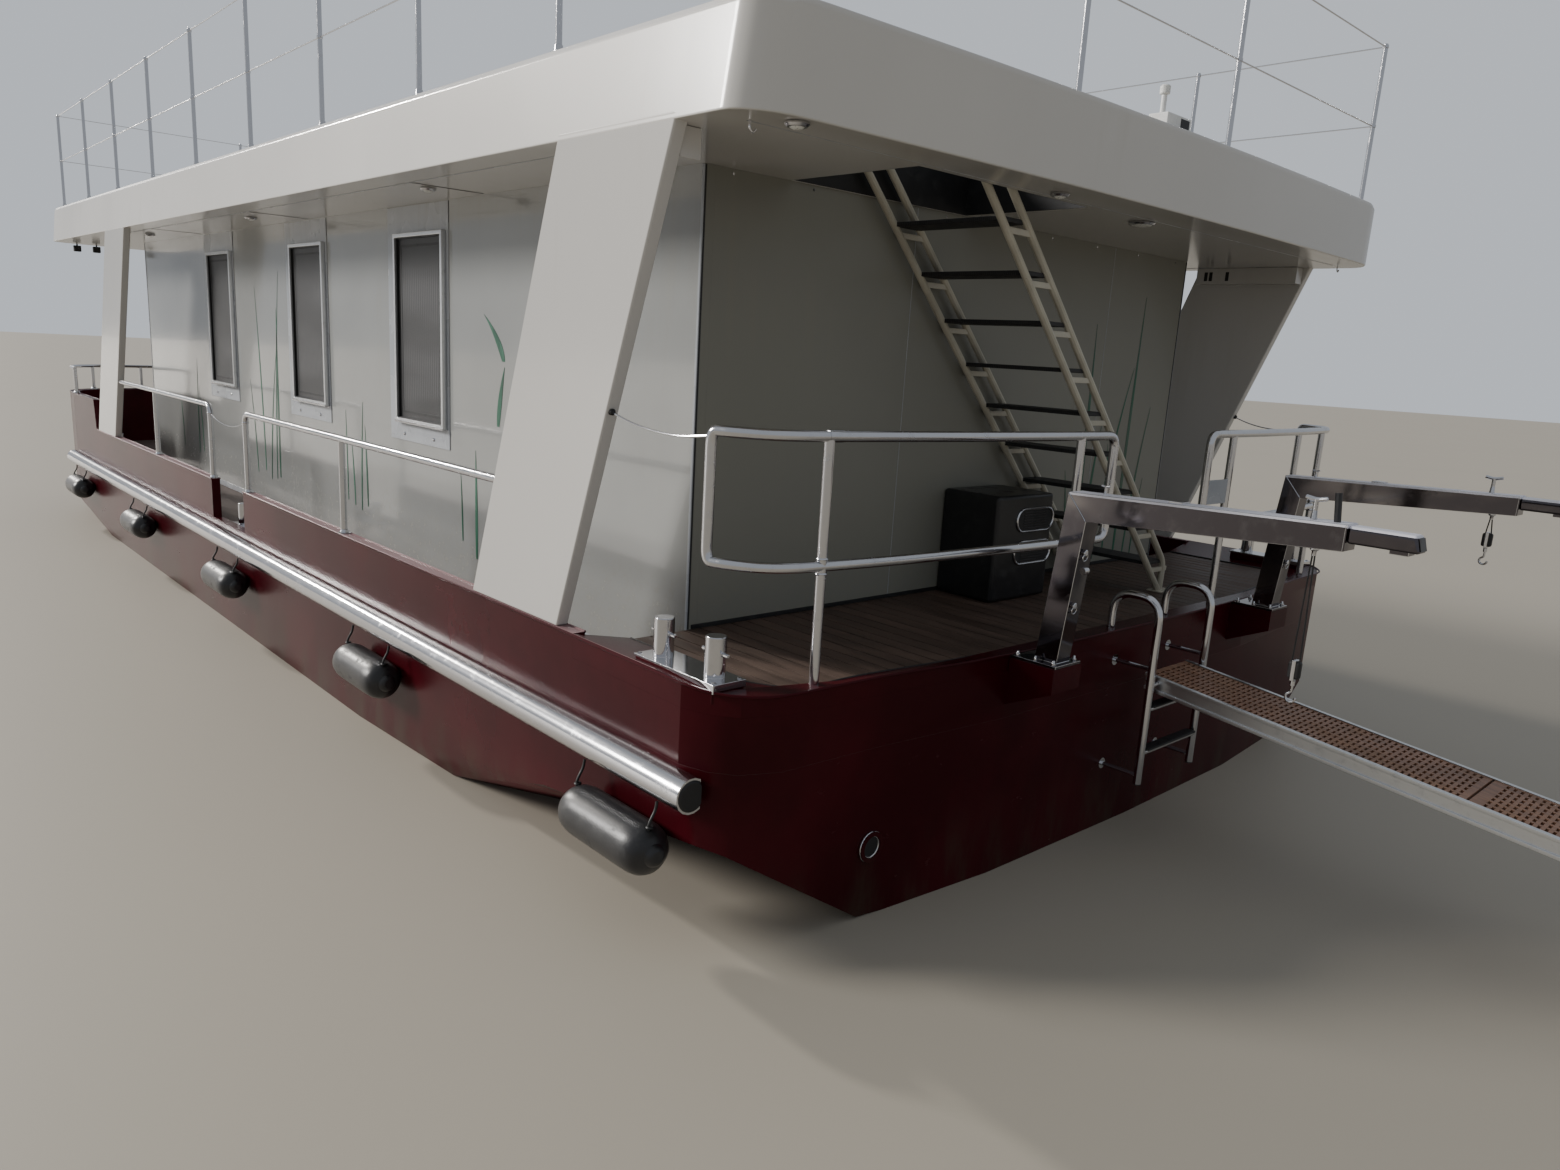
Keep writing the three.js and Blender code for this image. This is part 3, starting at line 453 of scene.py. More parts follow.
def make_reed(colours):
    f = Finish("reed green")
    green = tuple(colours.reeds)
    along = f.steps(f.noise(12, 3, 0.5, f.stretched(1, 1, 0.2)), 0.35, 0.65)
    return f.spread(along, shade(green, 0.7), shade(green, 1.25), 0.32, 0.5)


def make_bronze(colours):
    return patchy(
        "propeller bronze", (14, 5, 0.7, 0.42, 0.68), (0.56, 0.36, 0.14), (0.2, 0.2, 0.13), (0.25, 0.6),
        (50, 4, 0.001, 0.4), Metallic=1.0,
    )


def make_bottom_paint(colours):
    return patchy(
        "bottom paint", (20, 5, 0.7, 0.4, 0.7), (0.03, 0.03, 0.034), (0.08, 0.085, 0.06), (0.6, 0.9),
        (60, 4, 0.002, 0.5),
    )


def make_engine_paint(colours):
    return patchy(
        "engine paint", (9, 5, 0.65, 0.5, 0.7), (0.16, 0.17, 0.18), (0.03, 0.026, 0.02), (0.5, 0.25),
        (90, 3, 0.001, 0.4),
    )


def make_white(colours):
    return patchy(
        "white plastic", (8, 4, 0.5, 0.35, 0.7), (0.72, 0.72, 0.7), (0.82, 0.82, 0.8), (0.24, 0.4),
        (70, 2, 0.0006, 0.3),
    )


def patchy(name, patches, one, other, roughness, relief, **constants):
    """Patches from noise (scale, detail, roughness, edges) in two colours, on fine relief."""
    f = Finish(name, **constants)
    *noise, low, high = patches
    f.spread(f.steps(f.noise(*noise), low, high), one, other, *roughness)
    scale, detail, depth, strength = relief
    return f.relief(f.noise(scale, detail), depth, strength)


def make_lens(colours):
    f = Finish("lamp lens", Coat_Weight=0.5, Coat_Roughness=0.03)
    prisms = f.steps(f.cells(120), 0.1, 0.5)
    return f.spread(prisms, (0.5, 0.5, 0.48), (0.8, 0.8, 0.76), 0.1, 0.3)


MAKERS = {
    "hull": make_hull_paint,
    "cream": make_cream_paint,
    "panel": make_panel,
    "steel": make_steel,
    "bright": make_bright_steel,
    "reflection_painted_steel": make_reflection_painted_steel,
    "aluminium": make_aluminium,
    "rubber": make_rubber,
    "tread": make_tread,
    "locker": make_locker,
    "planks": make_planks,
    "board": make_board,
    "stair": make_stair_paint,
    "white": make_white,
    "surround": make_surround,
    "screen": make_screen,
    "glass": make_glass,
    "seal": make_black_seal,
    "reed": make_reed,
    "bronze": make_bronze,
    "bottom": make_bottom_paint,
    "engine": make_engine_paint,
    "lens": make_lens,
}


# Modelling.


def calm():
    if bpy.context.object and bpy.context.object.mode != "OBJECT":
        bpy.ops.object.mode_set(mode="OBJECT")
    bpy.ops.object.select_all(action="DESELECT")


def only(shape):
    calm()
    shape.select_set(True)
    bpy.context.view_layer.objects.active = shape


@contextmanager
def editing(shape, chosen=None, kind="FACE"):
    """Edit mode, with all selected, or only the faces or points that pass a test."""
    only(shape)
    bpy.ops.object.mode_set(mode="EDIT")
    if chosen:
        bpy.ops.mesh.select_mode(type=kind)
        bpy.ops.mesh.select_all(action="DESELECT")
        bpy.ops.object.mode_set(mode="OBJECT")
        for part in shape.data.polygons if kind == "FACE" else shape.data.vertices:
            part.select = chosen(part)
        bpy.ops.object.mode_set(mode="EDIT")
    else:
        bpy.ops.mesh.select_all(action="SELECT")
    yield
    bpy.ops.object.mode_set(mode="OBJECT")


def modify(shape, kind, **settings):
    """Adds a modifier and applies it."""
    only(shape)
    modifier = shape.modifiers.new(kind, kind)
    for name, value in settings.items():
        setattr(modifier, name, value)
    bpy.ops.object.modifier_apply(modifier=modifier.name)
    return shape


def freeze(shape):
    """Puts the object's place into its mesh."""
    only(shape)
    bpy.ops.object.transform_apply(location=True, rotation=True, scale=True)
    return shape


def coat(shape, name):
    shape.data.materials.clear()
    shape.data.materials.append(finish(name))
    return shape


def edged(shape, width, segments=2, angle=30, material=-1):
    """Rounds the shape's sharp edges by a width in millimetres. The rounding may have a finish of its own."""
    return modify(
        shape, "BEVEL", width=width / 1000, segments=segments, material=material,
        limit_method="ANGLE", angle_limit=math.radians(angle),
    )


def smooth(shape, angle=32):
    only(shape)
    bpy.ops.object.shade_smooth_by_angle(angle=math.radians(angle))
    return modify(shape, "WEIGHTED_NORMAL", keep_sharp=True)


def outward(shape):
    with editing(shape):
        bpy.ops.mesh.normals_make_consistent(inside=False)
    return shape


def block(low, high, edge, name):
    """A box between two corners, with rounded edges."""
    calm()
    low, high = at(*low), at(*high)
    bpy.ops.mesh.primitive_cube_add(size=1, location=(low + high) / 2, scale=high - low)
    return coat(edged(freeze(bpy.context.object), edge), name)


def turned(outline, centre, axis, sides, name):
    """A round solid through [radius, along] rings about an axis."""
    calm()
    (radius, along), *rest = outline
    bpy.ops.mesh.primitive_circle_add(vertices=sides, radius=radius / 1000, fill_type="NGON")
    shape = bpy.context.object
    shape.location.z = along / 1000
    with editing(freeze(shape)):
        for next_radius, next_along in rest:
            rise = (0, 0, (next_along - along) / 1000)
            bpy.ops.mesh.extrude_region_move(TRANSFORM_OT_translate={"value": rise})
            scale = next_radius / radius
            bpy.ops.transform.resize(value=(scale, scale, 1), center_override=(0, 0, next_along / 1000))
            radius, along = next_radius, next_along
    outward(shape)
    shape.rotation_euler = {"X": (0, math.pi / 2, 0), "Y": (-math.pi / 2, 0, 0), "Z": (0, 0, 0)}[axis]
    shape.location = at(*centre)
    return coat(freeze(shape), name)


def soften(route, reach, steps=6):
    """The route with each corner rounded, from a reach before it to a reach after it."""
    corners = [Vector(p) for p in route]
    points = [corners[0]]
    for before, corner, after in zip(corners, corners[1:], corners[2:]):
        start = corner + (before - corner).normalized() * reach
        end = corner + (after - corner).normalized() * reach
        for step in range(steps + 1):
            part = step / steps
            points.append(start.lerp(corner, part).lerp(corner.lerp(end, part), part))
    return points + [corners[-1]]


def flowing(route, steps=5):
    """A smooth curve through the route's points."""
    points = [Vector(p) for p in route]
    ends = [points[0] * 2 - points[1], *points, points[-1] * 2 - points[-2]]
    curve = []
    for a, b, c, d in zip(ends, ends[1:], ends[2:], ends[3:]):
        for step in range(steps):
            t = step / steps
            square, cube = 2 * a - 5 * b + 4 * c - d, 3 * b - a - 3 * c + d
            curve.append(0.5 * (2 * b + (c - a) * t + square * t * t + cube * t ** 3))
    return curve + [points[-1]]


def tube(route, radius, closed=False, resolution=3, name="steel"):
    """A round tube through places in millimetres."""
    calm()
    bpy.ops.curve.primitive_nurbs_path_add()
    shape = bpy.context.object
    path = shape.data
    path.splines.clear()
    spline = path.splines.new("POLY")
    spline.points.add(len(route) - 1)
    for point, place in zip(spline.points, route):
        point.co = (*at(*place), 1)
    spline.use_cyclic_u = closed
    path.bevel_depth = radius / 1000
    path.bevel_resolution = resolution
    path.use_fill_caps = not closed
    bpy.ops.object.convert(target="MESH")
    shape = bpy.context.object
    with editing(shape):
        bpy.ops.mesh.remove_doubles(threshold=1e-6)
        bpy.ops.mesh.normals_make_consistent(inside=False)
    return coat(shape, name)


def slab(outline, thickness, name, edge=0):
    """A flat shape whose outline's places share a plane, thickened along the plane's normal."""
    calm()
    bpy.ops.mesh.primitive_circle_add(vertices=len(outline), fill_type="NGON")
    shape = bpy.context.object
    for vertex, place in zip(shape.data.vertices, outline):
        vertex.co = at(*place)
    with editing(shape):
        bpy.ops.mesh.extrude_region_move(TRANSFORM_OT_translate={"value": Vector(thickness) / 1000})
    outward(shape)
    if edge:
        edged(shape, edge)
    return coat(shape, name)


def framed(low, high, border, axis, edge, name, hole=None):
    """A box with an opening along an axis (0, 1 or 2), of its own size or a border from the edges."""
    calm()
    low, high = at(*low), at(*high)
    bpy.ops.mesh.primitive_cube_add(size=1, location=(low + high) / 2, scale=high - low)
    shape = freeze(bpy.context.object)
    with editing(shape, lambda face: abs(face.normal[axis]) > 0.9):
        bpy.ops.mesh.inset(thickness=border / 1000, use_individual=True)
        if hole:
            corners = [at(*corner) for corner in hole]
            sizes = [(corners[1][i] - corners[0][i]) / (high[i] - low[i] - border / 500) for i in range(3)]
            sizes[axis] = 1
            shift = (corners[0] + corners[1] - low - high) / 2
            shift[axis] = 0
            bpy.ops.transform.resize(value=sizes, center_override=(low + high) / 2)
            bpy.ops.transform.translate(value=shift)
        bpy.ops.mesh.bridge_edge_loops()
    return coat(edged(outward(shape), edge), name)


def copied(node, name):
    """A free copy of a node's solid, with its doubled points merged and its flat faces made whole."""
    calm()
    shape = bpy.data.objects.new(node + "_copy", NODES[node].data.copy())
    bpy.context.scene.collection.objects.link(shape)
    with editing(shape):
        bpy.ops.mesh.remove_doubles(threshold=1e-5)
        bpy.ops.mesh.dissolve_limited(angle_limit=math.radians(0.5))
    return coat(shape, name)


def cut(shape, place, normal):
    """Takes away the part of a shape that lies beyond a plane, and closes it there."""
    with editing(shape):
        bpy.ops.mesh.bisect(plane_co=at(*place), plane_no=normal, use_fill=True, clear_outer=True)
    return shape


def flipped(shapes, side):
    """The shapes of the port side, moved over to the starboard side if they are for that."""
    if side == "starboard":
        for shape in shapes:
            shape.scale.y = -1
            outward(freeze(shape))
    return shapes


def moved(shape, x):
    """A copy with its own mesh, shifted forward in millimetres."""
    only(shape)
    bpy.ops.object.duplicate()
    other = bpy.context.object
    other.location.x = x / 1000
    return freeze(other)


def gather(name, shapes, body="boat", nodes=(), angle=32):
    """Joins shapes into one named piece that rides a body."""
    calm()
    for shape in shapes:
        shape.select_set(True)
    bpy.context.view_layer.objects.active = shapes[0]
    if len(shapes) > 1:
        bpy.ops.object.join()
    piece = bpy.context.view_layer.objects.active
    smooth(piece, angle)
    piece.name = piece.data.name = name
    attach(piece, body)
    if nodes:
        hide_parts(*nodes)
    return piece


def wear(node, name):
    """Gives a node that stays its finish."""
    mesh = NODES[node].data
    mesh.materials.clear()
    mesh.materials.append(finish(name))


# Settings.


def colour(label, text, value):
    return bpy.props.FloatVectorProperty(
        name=label, description=text, subtype="COLOR", size=3, min=0, max=1, default=value,
    )


class HouseboatColours(bpy.types.PropertyGroup):
    """Colours that a user would change."""

    hull: colour("Hull", "Paint of the hull and its bulwarks", (0.045, 0.003, 0.006))
    superstructure: colour("Superstructure", "Paint of the roof and its fins", (0.8, 0.775, 0.735))
    panels: colour("Panels", "Cabin wall panels", (0.34, 0.345, 0.335))
    planks: colour("Planks", "Decking of the aft deck", (0.105, 0.066, 0.048))
    boards: colour("Boards", "Slotted boards of the gangway", (0.235, 0.115, 0.065))
    stair: colour("Stair", "Paint of the roof stair", (0.5, 0.47, 0.38))
    steel: colour("Steel", "Rails and roof posts", (0.6, 0.6, 0.62))
    reeds: colour("Reeds", "Reed pattern on the cabin walls", (0.012, 0.11, 0.06))


def length(label, text, value):
    return bpy.props.FloatProperty(
        name=label, description=text, subtype="DISTANCE", unit="LENGTH", default=value,
    )


class HouseboatSizes(bpy.types.PropertyGroup):
    """Sizes that a user would change."""

    rail: length("Deck rail", "Radius of the deck rails' tubes", 0.021)
    stanchion: length("Stanchion", "Radius of the roof rail's posts", 0.014)
    wire: length("Roof wire", "Radius of the roof rail's wires", 0.004)
    gate_wire: length("Gate wire", "Radius of the slack wires across the gates", 0.003)
    edge: length("Panel edge", "Rounding of the painted panels' edges", 0.008)


class Maker:
    """What the operators share."""

    bl_options = {"REGISTER", "UNDO"}

    def execute(self, context):
        self.make(context.scene.houseboat_sizes)
        return {"FINISHED"}


# Camera and stage.


class HOUSEBOAT_OT_camera(Maker, bpy.types.Operator):
    """Sets the camera at the port quarter, a little above the aft deck."""

    bl_idname = "houseboat.camera"
    bl_label = "Camera"

    # The place in metres, and the yaw, pitch and roll in degrees.
    PLACE = (-9.041, 4.942, 2.8525)
    TURN = (-42.85, -12.236, 3.36)
    LENS, SENSOR, REACH = 24.62, 36, 400

    def make(self, sizes):
        calm()
        bpy.ops.object.camera_add()
        camera = bpy.context.object
        camera.name = "camera"
        camera.data.lens = self.LENS
        camera.data.sensor_width = self.SENSOR
        camera.data.clip_end = self.REACH
        yaw, pitch, roll = (math.radians(a) for a in self.TURN)
        turn = Matrix.Rotation(yaw - math.pi / 2, 4, "Z") @ Matrix.Rotation(math.pi / 2 + pitch, 4, "X")
        camera.matrix_world = Matrix.Translation(self.PLACE) @ turn @ Matrix.Rotation(roll, 4, "Z")
        bpy.context.scene.camera = camera


class HOUSEBOAT_OT_stage(Maker, bpy.types.Operator):
    """Lays the pale floor at the waterline and sets the soft lights."""

    bl_idname = "houseboat.stage"
    bl_label = "Stage"

    FLOOR = (0.37, 0.335, 0.275)
    SKY_TINT = (0.78, 0.83, 0.9, 1)
    # The sky's strength as light, before the camera and in reflections.
    SKY, SKY_SEEN, SKY_MIRRORED = 0.1, 0.75, 0.3
    # Name, direction, strength, spread in degrees, tint.
    SUNS = (
        ("key", (14, 13, 8.5), 3.3, 14, (1.0, 0.97, 0.93)),
        ("low", (14, 2.57, 5.75), 1.7, 3, (1.0, 0.95, 0.88)),
    )

    def make(self, sizes):
        calm()
        bpy.ops.mesh.primitive_plane_add(size=240, location=(0, 0, WATERLINE))
        floor = freeze(bpy.context.object)
        floor.name = "floor"
        f = Finish("stage floor", Roughness=0.6)
        f.feed(Base_Color=f.mix(f.noise(0.4, 2), self.FLOOR, shade(self.FLOOR, 1.05)))
        floor.data.materials.append(f.material)
        for sun in self.SUNS:
            self.sun(*sun)
        world = bpy.data.worlds.new("soft sky")
        bpy.context.scene.world = world
        world.use_nodes = True
        nodes, links = world.node_tree.nodes, world.node_tree.links
        back = nodes["Background"]
        back.inputs[0].default_value = self.SKY_TINT
        rays = nodes.new("ShaderNodeLightPath")
        strength = back.inputs[1]
        for seen, amount in {"Is Camera Ray": self.SKY_SEEN, "Is Glossy Ray": self.SKY_MIRRORED}.items():
            brighter = nodes.new("ShaderNodeMapRange")
            brighter.inputs["To Min"].default_value = self.SKY
            brighter.inputs["To Max"].default_value = amount
            links.new(rays.outputs[seen], brighter.inputs["Value"])
            most = nodes.new("ShaderNodeMath")
            most.operation = "MAXIMUM"
            links.new(brighter.outputs[0], most.inputs[0])
            if strength.is_linked:
                links.new(strength.links[0].from_socket, most.inputs[1])
            links.new(most.outputs[0], strength)

    def sun(self, name, place, strength, spread, tint):
        bpy.ops.object.light_add(type="SUN", location=place)
        light = bpy.context.object
        light.name = name
        light.data.energy = strength
        light.data.angle = math.radians(spread)
        light.data.color = tint
        light.rotation_euler = Vector(place).to_track_quat("Z", "Y").to_euler()


# Hull and decks.

# Outlines of the port half, as stations and distances to port.
STERN_CURVE = ((-165, 0), (-145, 1150), (-75, 1900), (-52, 2380), (15, 2540), (110, 2615), (230, HALF_BEAM))
PLANK_HALF = 2360
PLANK_CURVE = (
    (-35, 0), (-20, 1150), (50, 1880), (52, 2150), (110, 2265), (270, PLANK_HALF), (CABIN_AFT, PLANK_HALF),
)
PLANK_PITCH = 92
BOW_START, BOW_REACH, BOW_STEPS = 11500, 1180, 8
BOW_STEP = 10400
GATE = (5420, 6200)


def cap_at(x):
    """Height of the stern's cap, which rises forward to the bulwarks' over 565 mm."""
    part = min(1, max(0, (x + 165) / 565))
    return STERN_CAP + (CAP - STERN_CAP) * part


def bow_curve():
    """The bow's outline on the port side: a quarter of a squared oval."""
    turns = [step / BOW_STEPS * math.pi / 2 for step in range(BOW_STEPS)]
    square = 2 / 3
    side = [
        (BOW_START + BOW_REACH * math.sin(t) ** square, HALF_BEAM * math.cos(t) ** square) for t in turns
    ]
    return side + [(BOW_START + BOW_REACH, 0)]


def whole(curve):
    """A line from one side of the boat to the other, from its port half that starts amidships."""
    port = [(x, y) for x, y in curve if y > 0]
    return [(x, -y) for x, y in reversed(port)] + [(x, y) for x, y in curve if y == 0] + port


def flowing_flat(curve, steps=4):
    return [(p.x, p.y) for p in flowing([(x, y, 0) for x, y in curve], steps)]


class HOUSEBOAT_OT_hull(Maker, bpy.types.Operator):
    """Paints the hull and rounds the edges of its caps."""

    bl_idname = "houseboat.hull"
    bl_label = "Hull"

    RIM_INNER = DECK + 6
    OUTLET = (-76, 1885, 911)
    CAP_EDGE = 6

    def make(self, sizes):
        for node in ("bulwark_port", "bulwark_starboard"):
            wear(node, "hull")
        for node in ("hull", "aft_platform", "bulwark_bow"):
            gather(f"{node}_plating", [copied(node, "hull")], nodes=[node], angle=26)
        gather("stern_rim_plating", [self.sloped_rim()], nodes=["stern_rim"], angle=26)
        radius = self.CAP_EDGE
        stern = [(x, y, cap_at(x)) for x, y in flowing_flat(whole(STERN_CURVE))]
        stern = [(GATE[0], -HALF_BEAM, CAP), *stern, (GATE[0], HALF_BEAM, CAP)]
        gather("stern_cap_edge", [tube(stern, radius, name="hull")])
        for side, s in SIDES.items():
            outer = [
                (GATE[1], s * HALF_BEAM, CAP),
                (BOW_STEP - 60, s * HALF_BEAM, CAP),
                (BOW_STEP, s * HALF_BEAM, BOW_CAP),
                (BOW_START, s * HALF_BEAM, BOW_CAP),
            ]
            inner = [(x, s * BULWARK_INNER, z) for x, _, z in outer]
            aft_inner = [(CABIN_AFT, s * BULWARK_INNER, CAP), (GATE[0], s * BULWARK_INNER, CAP)]
            shapes = [tube(line, radius, name="hull") for line in (outer, inner, aft_inner)]
            gather(f"cap_edges_{side}", shapes)
        bow = [(min(x, BOW_START + BOW_REACH - radius), y, BOW_CAP) for x, y in whole(bow_curve()[::-1])]
        gather("bow_cap_edge", [tube(bow, radius, name="hull")])
        shapes = [self.ring(60, 8), self.ring(46, 4)]
        shapes.append(turned([(56, -4), (52, -7), (40, -3)], self.OUTLET, "X", 24, "seal"))
        gather("transom_outlet", shapes)

    def sloped_rim(self):
        """The margin round the planks, whose top falls from its outer edge to the planks."""
        places = [*whole(PLANK_CURVE), (400, PLANK_HALF), (400, -PLANK_HALF)]
        inner = [at(x, y, 0).xy for x, y in places]

        def beside_planks(vertex):
            return vertex.co.z > 1.61 and any((vertex.co.xy - place).length < 0.01 for place in inner)

        rim = copied("stern_rim", "hull")
        with editing(rim, beside_planks, "VERT"):
            bpy.ops.transform.resize(value=(1, 1, 0), center_override=(0, 0, self.RIM_INNER / 1000))
        return rim

    def ring(self, radius, thickness):
        x, y, z = self.OUTLET
        turns = [i / 32 * 2 * math.pi for i in range(32)]
        route = [(x - 4, y + radius * math.cos(a), z + radius * math.sin(a)) for a in turns]
        return tube(route, thickness, closed=True)


class HOUSEBOAT_OT_rub_rails(Maker, bpy.types.Operator):
    """Fits the half-round steel rub rails, with a dark plug in each open end as painted shade."""

    bl_idname = "houseboat.rub_rails"
    bl_label = "Rub rails"

    # Station, distance to port and height of the rails' aft ends.
    END = (138, 2690, 1269)

    def make(self, sizes):
        x, y, z = self.END
        for side, s in SIDES.items():
            rail = copied(f"rub_rail_{side}", "steel")
            # The dark plug stands in for the shade inside the rail's open end.
            plug = turned([(50, -56), (60, -50), (64, -44), (64, 8)], (x, s * y, z), "X", 32, "seal")
            cut(plug, (x, s * (HALF_BEAM + 1), z), (0, -s, 0))
            gather(f"rub_rail_shell_{side}", [rail, plug], nodes=[f"rub_rail_{side}"])


class HOUSEBOAT_OT_fenders(Maker, bpy.types.Operator):
    """Hangs the black fenders under the rub rails."""

    bl_idname = "houseboat.fenders"
    bl_label = "Fenders"

    STATIONS = (500, 2950, 5600, 8250, 10900)
    HEIGHT, RADIUS = 1005, 105.2
    # Radius and place along, from the middle to an end.
    HALF = (
        (105, 160), (104, 200), (98, 236), (84, 262), (62, 278), (46, 285), (40, 300), (30, 308), (16, 310),
    )

    def make(self, sizes):
        y, z = HALF_BEAM + self.RADIUS, self.HEIGHT
        outline = [(radius, -along) for radius, along in self.HALF[::-1]] + list(self.HALF)
        first = [turned(outline, (0, y, z), "X", 32, "rubber")]
        for x in (-250, 250):
            route = [(x, y, z + 60), (x, y + 4, z + 110), (x, y - 22, z + 160), (x, y - 30, z + 196)]
            first.append(tube(flowing(route, 4), 6, name="seal"))
            first.append(turned([(13, -5), (16, 0), (13, 5)], (x, y, z + 100), "Z", 12, "seal"))
        for number, station in enumerate(self.STATIONS, 1):
            for side in SIDES:
                node = f"fender_{number}_{side}"
                shapes = flipped([moved(shape, station) for shape in first], side)
                gather(f"{node}_body", shapes, nodes=[node])
        for shape in first:
            bpy.data.objects.remove(shape)


class HOUSEBOAT_OT_planks(Maker, bpy.types.Operator):
    """Cuts the aft deck into planks, with a black joint between them and a black line round them."""

    bl_idname = "houseboat.planks"
    bl_label = "Planks"

    GROOVE, GROOVE_DEPTH = 7, 6

    def make(self, sizes):
        deck = copied("aft_deck", "planks")
        deck.data.materials.append(finish("seal"))
        count = int(PLANK_HALF / PLANK_PITCH)
        joints = [(row + 0.5) * PLANK_PITCH for row in range(-count, count + 1)]
        edges = [y + half for y in joints for half in (-self.GROOVE / 2, self.GROOVE / 2)]
        with editing(deck):
            for y in edges:
                if abs(y) < PLANK_HALF - 5:
                    bpy.ops.mesh.select_all(action="SELECT")
                    bpy.ops.mesh.bisect(plane_co=at(0, y, DECK), plane_no=(0, 1, 0))

        def in_joint(face):
            offset = (face.center.y * 1000 / PLANK_PITCH - 0.5) % 1
            return face.normal.z > 0.9 and min(offset, 1 - offset) * PLANK_PITCH < self.GROOVE / 2

        for face in filter(in_joint, deck.data.polygons):
            face.material_index = 1
        with editing(deck, in_joint):
            sink = (0, 0, -self.GROOVE_DEPTH / 1000)
            bpy.ops.mesh.extrude_region_move(TRANSFORM_OT_translate={"value": sink})
        gather("deck_planking", [deck], nodes=["aft_deck"])
        line = [(x, y, DECK + 3) for x, y in flowing_flat(whole(PLANK_CURVE[:-1]))]
        line = [(CABIN_AFT - 4, -PLANK_HALF, DECK + 3), *line, (CABIN_AFT - 4, PLANK_HALF, DECK + 3)]
        gather("deck_joint", [tube(line, 7, name="seal")])


# Cabin.

WINDOWS = (3790, 5720, 7910)
WINDOW_HALF, WINDOW_LOW, WINDOW_HIGH = 330, 2316, 3404
SURROUND = 100


class HOUSEBOAT_OT_walls(Maker, bpy.types.Operator):
    """Finishes the cabin's walls: panel joints, corner trims and the skirting."""

    bl_idname = "houseboat.walls"
    bl_label = "Walls"

    def make(self, sizes):
        for node in ("cabin_side_port", "cabin_side_starboard", "cabin_aft_wall", "cabin_front_wall"):
            wear(node, "panel")
        y, aft, fore = CABIN_HALF, CABIN_AFT, CABIN_FORE
        reach = WINDOW_HALF + SURROUND
        for side in SIDES:
            shapes = [
                block((x - 2, y - 1, 3480), (x + 2, y + 1.2, 3600), 0.6, "seal")
                for x in (window + edge for window in WINDOWS for edge in (-reach, reach))
            ]
            shapes += [
                block((aft - 2, y - 2, 1345), (aft + 12, y + 4, 3602), 1.5, "surround"),
                block((fore - 10, y - 2, 1345), (fore + 2, y + 4, 3602), 1.5, "surround"),
                block((aft, y - 1, 1342), (fore, y + 6, 1390), 3, "surround"),
            ]
            gather(f"wall_trim_{side}", flipped(shapes, side))
        shapes = [block((aft - 2, y - 6, 1602), (aft + 1, y + 4, 3603), 1, "seal") for y in (2048, -2048)]
        for y in (-1160, 700):
            shapes.append(block((aft - 1.2, y - 1.5, 1602), (aft + 1, y + 1.5, 3600), 0.5, "surround"))
        shapes.append(block((aft - 6, -2030, 1602), (aft + 1, 2030, 1622), 2, "seal"))
        for y in range(-1900, 1901, 475):
            shapes.append(turned([(6, 0), (6, 2), (3, 3)], (aft - 2.5, y, 3585), "X", 10, "steel"))
        gather("aft_wall_trim", shapes)


class HOUSEBOAT_OT_windows(Maker, bpy.types.Operator):
    """Fits the side windows: surround plate with bolts, metal frame, screen and glass."""

    bl_idname = "houseboat.windows"
    bl_label = "Windows"

    def make(self, sizes):
        for number, x in enumerate(WINDOWS, 1):
            for side in SIDES:
                gather(f"window_{number}_{side}", flipped(self.window(x), side))

    def window(self, x):
        """A flanged frame wider than the wall's opening, on a flat plate, with the screen set back in it."""
        y = CABIN_HALF
        half, low, high = WINDOW_HALF, WINDOW_LOW, WINDOW_HIGH
        aft, fore, bottom, top = x - half - 72, x + half - 42, low - 32, high + 36
        plate = (x - half - SURROUND, y - 6, low - 150), (x + half + SURROUND, y + 5, 3600)
        view = (aft + 12, y, bottom + 12), (fore - 12, y, top - 12)
        shapes = [
            framed(*plate, 20, 1, 1.5, "surround", view),
            framed((aft, y + 4, bottom), (fore, y + 36, top), 25, 1, 5, "aluminium"),
            framed((aft + 23, y + 5, bottom + 23), (fore - 23, y + 22, top - 23), 9, 1, 2, "seal"),
            block((aft + 10, y + 3, bottom + 10), (fore - 10, y + 9, top - 10), 1, "screen"),
            framed((aft + 76, y + 8, bottom + 60), (fore - 62, y + 10.5, top - 66), 16, 1, 1, "seal"),
            block((x - half + 2, y - 48, low + 2), (x + half - 2, y - 42, high - 2), 1, "glass"),
            block((aft - 3, y + 31, bottom - 3), (fore + 3, y + 40, bottom + 12), 2, "steel"),
        ]
        for offset in (-215, 215):
            centre = (x + offset, y + 5, low - 105)
            shapes.append(turned([(12, 0), (12, 3), (8, 7), (3, 8)], centre, "Y", 12, "steel"))
        return shapes


